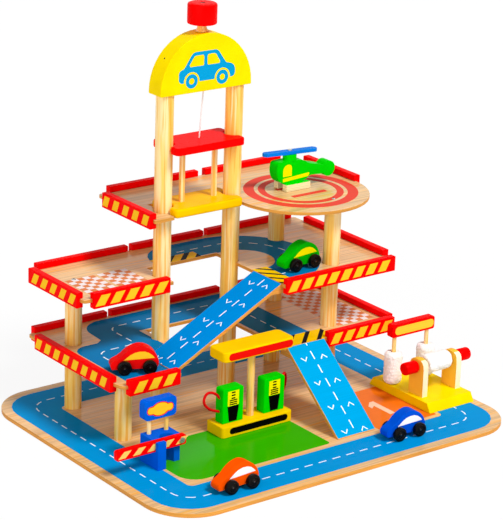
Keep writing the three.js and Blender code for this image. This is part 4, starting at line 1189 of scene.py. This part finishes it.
class GARAGE_OT_wash(bpy.types.Operator):
    """Builds the car wash: plate and cheeks, fleece roller and brushes, and its sign"""

    bl_idname = "toy_garage.wash"
    bl_label = "Car wash"

    plate_thickness, sign_height, dowel_radius = 16, 16.5, 2.5
    roller_half, roller_radius, knob_length, knob_radius = 18.35, 12.4, 18.5, 7.7

    def execute(self, context):
        edge = context.scene.garage_sizes.lacquered_edge

        def tone(centre, normal):
            """The plate's lacquer, the cheeks' pale front edges, and their honey sides"""
            if centre.z < self.plate_thickness + 0.6:
                return 0
            return 2 if normal.y < -0.5 else 1

        names = "yellow_sprayed_lacquer honey_sprayed_lacquer cream_cheek_lacquer"
        dressed("wash_plate", names, "yellow_lacquer", edge, tone)
        self.roller()
        for name in ("wash_brush_left", "wash_brush_right"):
            low, high = box(name)
            ends, radius = (low.z + 0.2, high.z - 0.2), (high.x - low.x) / 2 + 0.5
            fleece(name, ends, middle_of(name).xy, "z", radius, 2.8)
        self.sign(edge)
        return {"FINISHED"}

    def roller(self):
        low, high = box("wash_roller")
        x, y, z = middle_of("wash_roller")
        ends = (x - self.roller_half, x + self.roller_half)
        fleece("wash_roller", ends, (y, z), "x", self.roller_radius, self.dowel_radius, 5)
        mesh = bmesh.new()
        profile = [(self.dowel_radius, low.x + 10), (self.dowel_radius, high.x - 10)]
        turned(mesh, profile, (y, z), "x", steps=24)
        piece("wash_axle", mesh, "wash_roller", "sanded_pine_dowel", "bare_dowel")
        mesh = bmesh.new()
        radius = self.knob_radius
        for out, way in ((low.x, 1), (high.x, -1)):
            inside = out + way * self.knob_length
            knob = [(0, out), (6.2, out), (7.2, out + way * 0.5), (radius, out + way * 1.8)]
            knob += [(radius, inside - way * 1.2), (7.2, inside - way * 0.3), (2.6, inside)]
            turned(mesh, knob, (y, z), "x", steps=36)
        piece("wash_knobs", mesh, "wash_roller", "red_sprayed_lacquer", "red_lacquer")

    def sign(self, edge):
        low, high = box("wash_sign")
        under = high.z - self.sign_height
        mesh = bmesh.new()
        prism(mesh, rectangle(low.x, high.x, under, high.z, 3), "y", low.y, high.y)
        lacquer = "red_sprayed_lacquer"
        piece("wash_sign_board", mesh, "garage", lacquer, "red_lacquer", edge, ["wash_sign"])
        mesh = bmesh.new()
        pill = rectangle(low.x + 4.3, high.x - 1.6, under + 3, high.z - 3.1, 5.1)
        side_print(mesh, pill, "y", low.y, -1)
        piece("wash_sign_panel", mesh, "garage", "sign_panel_print", "yellow_lacquer")
        mesh = bmesh.new()
        profile = [(self.dowel_radius, low.z), (self.dowel_radius, under + 0.5)]
        for brush in ("wash_brush_left", "wash_brush_right"):
            centre = (middle_of(brush).x, middle_of("wash_sign").y)
            turned(mesh, profile, centre, steps=24)
        piece("wash_sign_dowels", mesh, "garage", "sanded_pine_dowel", "bare_dowel")


class GARAGE_OT_booth(bpy.types.Operator):
    """Builds the ticket booth with its sign on two dowels, and the striped barrier"""

    bl_idname = "toy_garage.booth"
    bl_label = "Ticket booth and barrier"

    # Heights between which the sign's dowels stand bare, and the block's right cheek, in
    # front of which the barrier's screw stands out
    dowels_bare, cheek_from = (38.2, 55.9), -158.6
    screw_at, screw_radius = (-155, 32.3), 3.3
    # The badge's middle and face, half its bar's length and height, and its oval's radius
    badge, badge_face, bar_half, oval_radius, oval_wider = (-172.5, 67.5), -56.5, (17, 4), 7.4, 1.5
    # Width of the badge's red rim
    rim = 1.1

    def execute(self, context):
        edge = context.scene.garage_sizes.lacquered_edge
        arm_front = box("barrier_arm")[0].y - 0.05
        bare_low, bare_high = self.dowels_bare

        def tone(centre, normal):
            """Lacquered block and sign, bare dowels between them, and the screw's shank"""
            if bare_low < centre.z < bare_high:
                return 1
            return 2 if centre.x > self.cheek_from and centre.y < arm_front else 0

        names = "blue_sprayed_lacquer sanded_pine_dowel zinc_plated_screw"
        dressed("ticket_booth", names, "blue_lacquer", edge, tone)
        x, z = self.badge
        half, height = self.bar_half
        mesh = bmesh.new()
        for grow, layers, picked in ((self.rim, 1, 1), (0, 2, 0)):
            wide, high = half + grow, height + grow
            pill = rectangle(x - wide, x + wide, z - high, z + high, 3.9 + grow)
            side_print(mesh, pill, "y", self.badge_face, -1, picked, layers)
            oval = arc(0, 0, self.oval_radius + grow)
            oval = [Vector((x + self.oval_wider * u, z + v)) for u, v in oval]
            side_print(mesh, oval, "y", self.badge_face, -1, picked, layers + 0.5)
        piece("booth_badge", mesh, "garage", "stripe_print red_print", "blue_lacquer")
        self.barrier(edge)
        mesh = bmesh.new()
        screw(mesh, self.screw_at, "y", arm_front - 0.4, -1, self.screw_radius)
        names = "zinc_plated_screw dark_drilled_hole"
        piece("barrier_screw", mesh, "garage", names, "blue_lacquer")
        return {"FINISHED"}

    def barrier(self, edge):
        dressed("barrier_arm", "red_sprayed_lacquer", "red_lacquer", edge)
        low, high = box("barrier_arm")
        mesh = bmesh.new()
        across, up = (low.x + 1, low.x + 97), (low.z + 2.1, high.z - 2.1)
        slanted_stripes(mesh, "y", low.y, across, up, 5, 9.6, 8)
        piece("barrier_stripes", mesh, "barrier", "pale_stripe_print", "red_lacquer")


class GARAGE_OT_cars(bpy.types.Operator):
    """Builds the four cars with their windows and their turned wheels"""

    bl_idname = "toy_garage.cars"
    bl_label = "Cars"

    # Each car's turn on its road in degrees, and its windows' print
    cars = {
        "orange": (0.6, "white_window_print"),
        "blue": (-2.2, "white_window_print"),
        "red": (-24.8, "stripe_print"),
        "green": (2.6, "lemon_print"),
    }
    # A window: a flat sill and an arched top, from the middle between the axles
    window = (
        (-15.2, 7.8), (-12, 10.2), (-8, 13.4), (-3, 16.2), (3, 17.6), (9, 17.4),
        (14, 15.7), (18, 12.6), (20.8, 9.4),
    )
    half_width, wheel_inner, wheel_outer, axle_radius = 7, 8, 14, 1.9
    # A wheel's profile (radius, depth from its outer face), from its rim to its hub
    rim = ((8.3, 1.3), (8, 0.4), (7.2, 0), (5.6, 0), (5.1, 0.9), (2.6, 0.9), (2.2, 0.4), (1.2, 0.3))
    nail = ((1.2, 0.5), (1, 0.15), (0.4, 0.05))
    spokes, spoke_radii = 5, (3.9, 2.9)

    def execute(self, context):
        edge = context.scene.garage_sizes.car_edge
        for name, (degrees, window_print) in self.cars.items():
            turn = Matrix.Rotation(math.radians(degrees), 4, "Z")
            car, slot = name + "_car", name + "_lacquer"
            front, rear = (middle_of(f"{car}_{end}_wheels") for end in ("front", "rear"))
            lacquer = car + "_sprayed_lacquer"
            dressed(car, lacquer, slot, edge, name=car + "_block")
            mesh = bmesh.new()
            for side in (-1, 1):
                side_print(mesh, points(*self.window), "y", side * self.half_width, side)
            mesh.transform(Matrix.Translation((front + rear) / 2 * MM) @ turn)
            piece(car + "_windows", mesh, car, window_print, slot)
            for end, centre in (("front", front), ("rear", rear)):
                self.wheels(f"{car}_{end}_wheels", Matrix.Translation(centre * MM) @ turn)
        return {"FINISHED"}

    def wheels(self, name, place):
        """Two wheels with a raised tyre and a recessed hub, on an axle with nail heads"""
        mesh = bmesh.new()
        for side in (-1, 1):
            inner, outer = side * self.wheel_inner, side * self.wheel_outer
            tyre = [(2, inner), (7.2, inner), (8, inner + side * 0.4), (8.3, inner + side * 1.3)]
            tyre += [(radius, outer - side * depth) for radius, depth in self.rim]
            turned(mesh, tyre, (0, 0), "y", 0, 40)
            nail = [(radius, outer - side * depth) for radius, depth in self.nail]
            turned(mesh, nail, (0, 0), "y", 1, 16)
            far, near = self.spoke_radii
            for k in range(self.spokes):
                start = 360 / self.spokes * k
                spoke = arc(0, 0, far, start, start + 30, 4) + arc(0, 0, near, start + 30, start, 4)
                low, high = sorted((outer - side * 1.0, outer - side * 0.7))
                prism(mesh, spoke, "y", low, high)
        reach = self.wheel_inner + 0.2
        turned(mesh, [(self.axle_radius, -reach), (self.axle_radius, reach)], (0, 0), "y", 1, 16)
        mesh.transform(place)
        names = "black_dipped_wheel dull_steel_nail"
        piece(name + "_turned", mesh, name, names, "black_wheel", replaces=[name])


class GARAGE_OT_helicopter(bpy.types.Operator):
    """Builds the helicopter with its window, layered skids and rotor"""

    bl_idname = "toy_garage.helicopter"
    bl_label = "Helicopter"

    belly, mast_top, middle_y, half_width = 251.1, 286.2, 79.5, 7.5
    # The prints on both sides: the window, and the strip below it that runs along the tail
    window = ((90.5, 261), (103.5, 261), (103.5, 275.5, 5), (90.5, 275.5, 7))
    tail_strip = ((90.5, 254.6), (129, 256.8), (131, 261.4, 1), (90.5, 258.8))
    rotor_edge, rotor_screw = 0.5, (105.25, 79.5)

    def execute(self, context):
        def tone(centre, normal):
            """Lacquered body, bare plies of the skids, and the screw in the mast"""
            if centre.z > self.mast_top + 0.05:
                return 2
            skid_top = centre.z < self.belly + 0.3 and normal.z > 0.5
            return 1 if skid_top or centre.z < self.belly - 0.5 else 0

        edge = context.scene.garage_sizes.car_edge * 0.7
        names = "green_sprayed_lacquer sanded_pale_plies zinc_plated_screw"
        dressed("helicopter", names, "green_lacquer", edge, tone)
        mesh = bmesh.new()
        for outward in (-1, 1):
            for shape in (self.window, self.tail_strip):
                face = self.middle_y + outward * self.half_width
                side_print(mesh, corners(shape), "y", face, outward)
        piece("helicopter_windows", mesh, "helicopter", "lemon_print", "green_lacquer")
        rotor = "sky_blue_sprayed_lacquer"
        dressed("helicopter_rotor", rotor, "blue_lacquer", self.rotor_edge * MM)
        mesh = bmesh.new()
        screw(mesh, self.rotor_screw, "z", box("helicopter")[1].z - 1.1, 1, 2.8)
        names = "zinc_plated_screw dark_drilled_hole"
        piece("rotor_screw", mesh, "helicopter", names, "green_lacquer")
        return {"FINISHED"}


# Stage


class GARAGE_OT_stage(bpy.types.Operator):
    """Sets the floor, the lamps, the sky and the camera"""

    bl_idname = "toy_garage.stage"
    bl_label = "Stage"

    floor_half, floor_low, floor_top = 6000, -6, -0.05
    # Share of the floor's own white in what the camera sees; the rest keeps the shadows
    floor_white, sky = 0.9, 0.36
    # Each lamp's direction, strength and angle across in degrees
    suns = {"key": ((0.25, -0.85, 1.25), 2.55, 16), "fill": ((-0.9, -0.5, 0.3), 1.15, 50)}
    lens, camera_at = 155.78, (-1507.1, -1942.39, 1043.43)
    camera_turn = (70.9316, -1.8422, -37.017)

    def execute(self, context):
        self.floor()
        self.lamps()
        self.camera()
        context.scene.view_settings.view_transform = "Standard"
        return {"FINISHED"}

    def seen_directly(self, tree):
        """1 where the camera sees something itself, by a reflection or through glass"""
        rays = add_node(tree, "ShaderNodeLightPath").outputs
        made = rays["Is Camera Ray"]
        for kind in ("Is Glossy Ray", "Is Transmission Ray"):
            ends = {0: made, 1: rays[kind]}
            made = add_node(tree, "ShaderNodeMath", ends, operation="MAXIMUM").outputs[0]
        return made

    def floor(self):
        half = self.floor_half
        mesh = bmesh.new()
        plate = rectangle(-half, half, -half, half)
        prism(mesh, plate, "z", self.floor_low, self.floor_top)
        tree, shader = new_material(
            "white_paper_floor", Base_Color=linear("#F8F8F8"), Roughness=0.9,
            Specular_IOR_Level=0.1,
        )
        glow = add_node(tree, "ShaderNodeEmission", {"Color": (1, 1, 1, 1), "Strength": 1.0})
        share = {0: self.seen_directly(tree), 1: self.floor_white}
        share = add_node(tree, "ShaderNodeMath", share, operation="MULTIPLY").outputs[0]
        ends = {0: share, 1: shader.outputs[0], 2: glow.outputs[0]}
        mixed = add_node(tree, "ShaderNodeMixShader", ends)
        tree.links.new(mixed.outputs[0], tree.nodes["Material Output"].inputs["Surface"])
        new_object("floor", mesh, [bpy.data.materials["white_paper_floor"]])

    def lamps(self):
        world = bpy.data.worlds.new("studio")
        bpy.context.scene.world = world
        world.use_nodes = True
        tree = world.node_tree
        light = tree.nodes["Background"]
        light.inputs["Strength"].default_value = self.sky
        light.inputs["Color"].default_value = (1, 1, 1, 1)
        white = add_node(tree, "ShaderNodeBackground", {"Color": (1, 1, 1, 1), "Strength": 1.0})
        ends = {0: self.seen_directly(tree), 1: light.outputs[0], 2: white.outputs[0]}
        mixed = add_node(tree, "ShaderNodeMixShader", ends)
        tree.links.new(mixed.outputs[0], tree.nodes["World Output"].inputs["Surface"])
        for name, (toward, strength, angle) in self.suns.items():
            lamp = bpy.data.lights.new(name, "SUN")
            lamp.energy, lamp.angle = strength, math.radians(angle)
            made = bpy.data.objects.new(name, lamp)
            made.rotation_mode = "QUATERNION"
            made.rotation_quaternion = Vector(toward).to_track_quat("Z", "Y")
            bpy.context.scene.collection.objects.link(made)

    def camera(self):
        data = bpy.data.cameras.new("camera")
        data.lens, data.sensor_width = self.lens, 36
        data.clip_start, data.clip_end = 0.05, 30
        made = bpy.data.objects.new("camera", data)
        made.location = Vector(self.camera_at) * MM
        made.rotation_euler = [math.radians(a) for a in self.camera_turn]
        bpy.context.scene.collection.objects.link(made)
        bpy.context.scene.camera = made


# Panel and start


OPERATORS = (
    GARAGE_OT_stage,
    GARAGE_OT_boards,
    GARAGE_OT_posts,
    GARAGE_OT_rails,
    GARAGE_OT_tower,
    GARAGE_OT_lift,
    GARAGE_OT_ramps,
    GARAGE_OT_petrol,
    GARAGE_OT_wash,
    GARAGE_OT_booth,
    GARAGE_OT_cars,
    GARAGE_OT_helicopter,
)


class GARAGE_PT_panel(bpy.types.Panel):
    """Lists the garage's sizes, colours and pieces"""

    bl_label = "Toy parking garage"
    bl_idname = "GARAGE_PT_panel"
    bl_space_type = "VIEW_3D"
    bl_region_type = "UI"
    bl_category = "Garage"

    def draw(self, context):
        for group in (context.scene.garage_sizes, context.scene.garage_colours):
            for key in group.__annotations__:
                self.layout.prop(group, key)
        for operator in OPERATORS:
            self.layout.operator(operator.bl_idname)


CLASSES = (GarageSizes, GarageColours, *OPERATORS, GARAGE_PT_panel)


def register():
    for kind in CLASSES:
        bpy.utils.register_class(kind)
    bpy.types.Scene.garage_sizes = PointerProperty(type=GarageSizes)
    bpy.types.Scene.garage_colours = PointerProperty(type=GarageColours)


def unregister():
    del bpy.types.Scene.garage_colours
    del bpy.types.Scene.garage_sizes
    for kind in reversed(CLASSES):
        bpy.utils.unregister_class(kind)


def main():
    register()
    for operator in OPERATORS:
        group, name = operator.bl_idname.split(".")
        getattr(getattr(bpy.ops, group), name)()


if __name__ == "__main__":
    main()
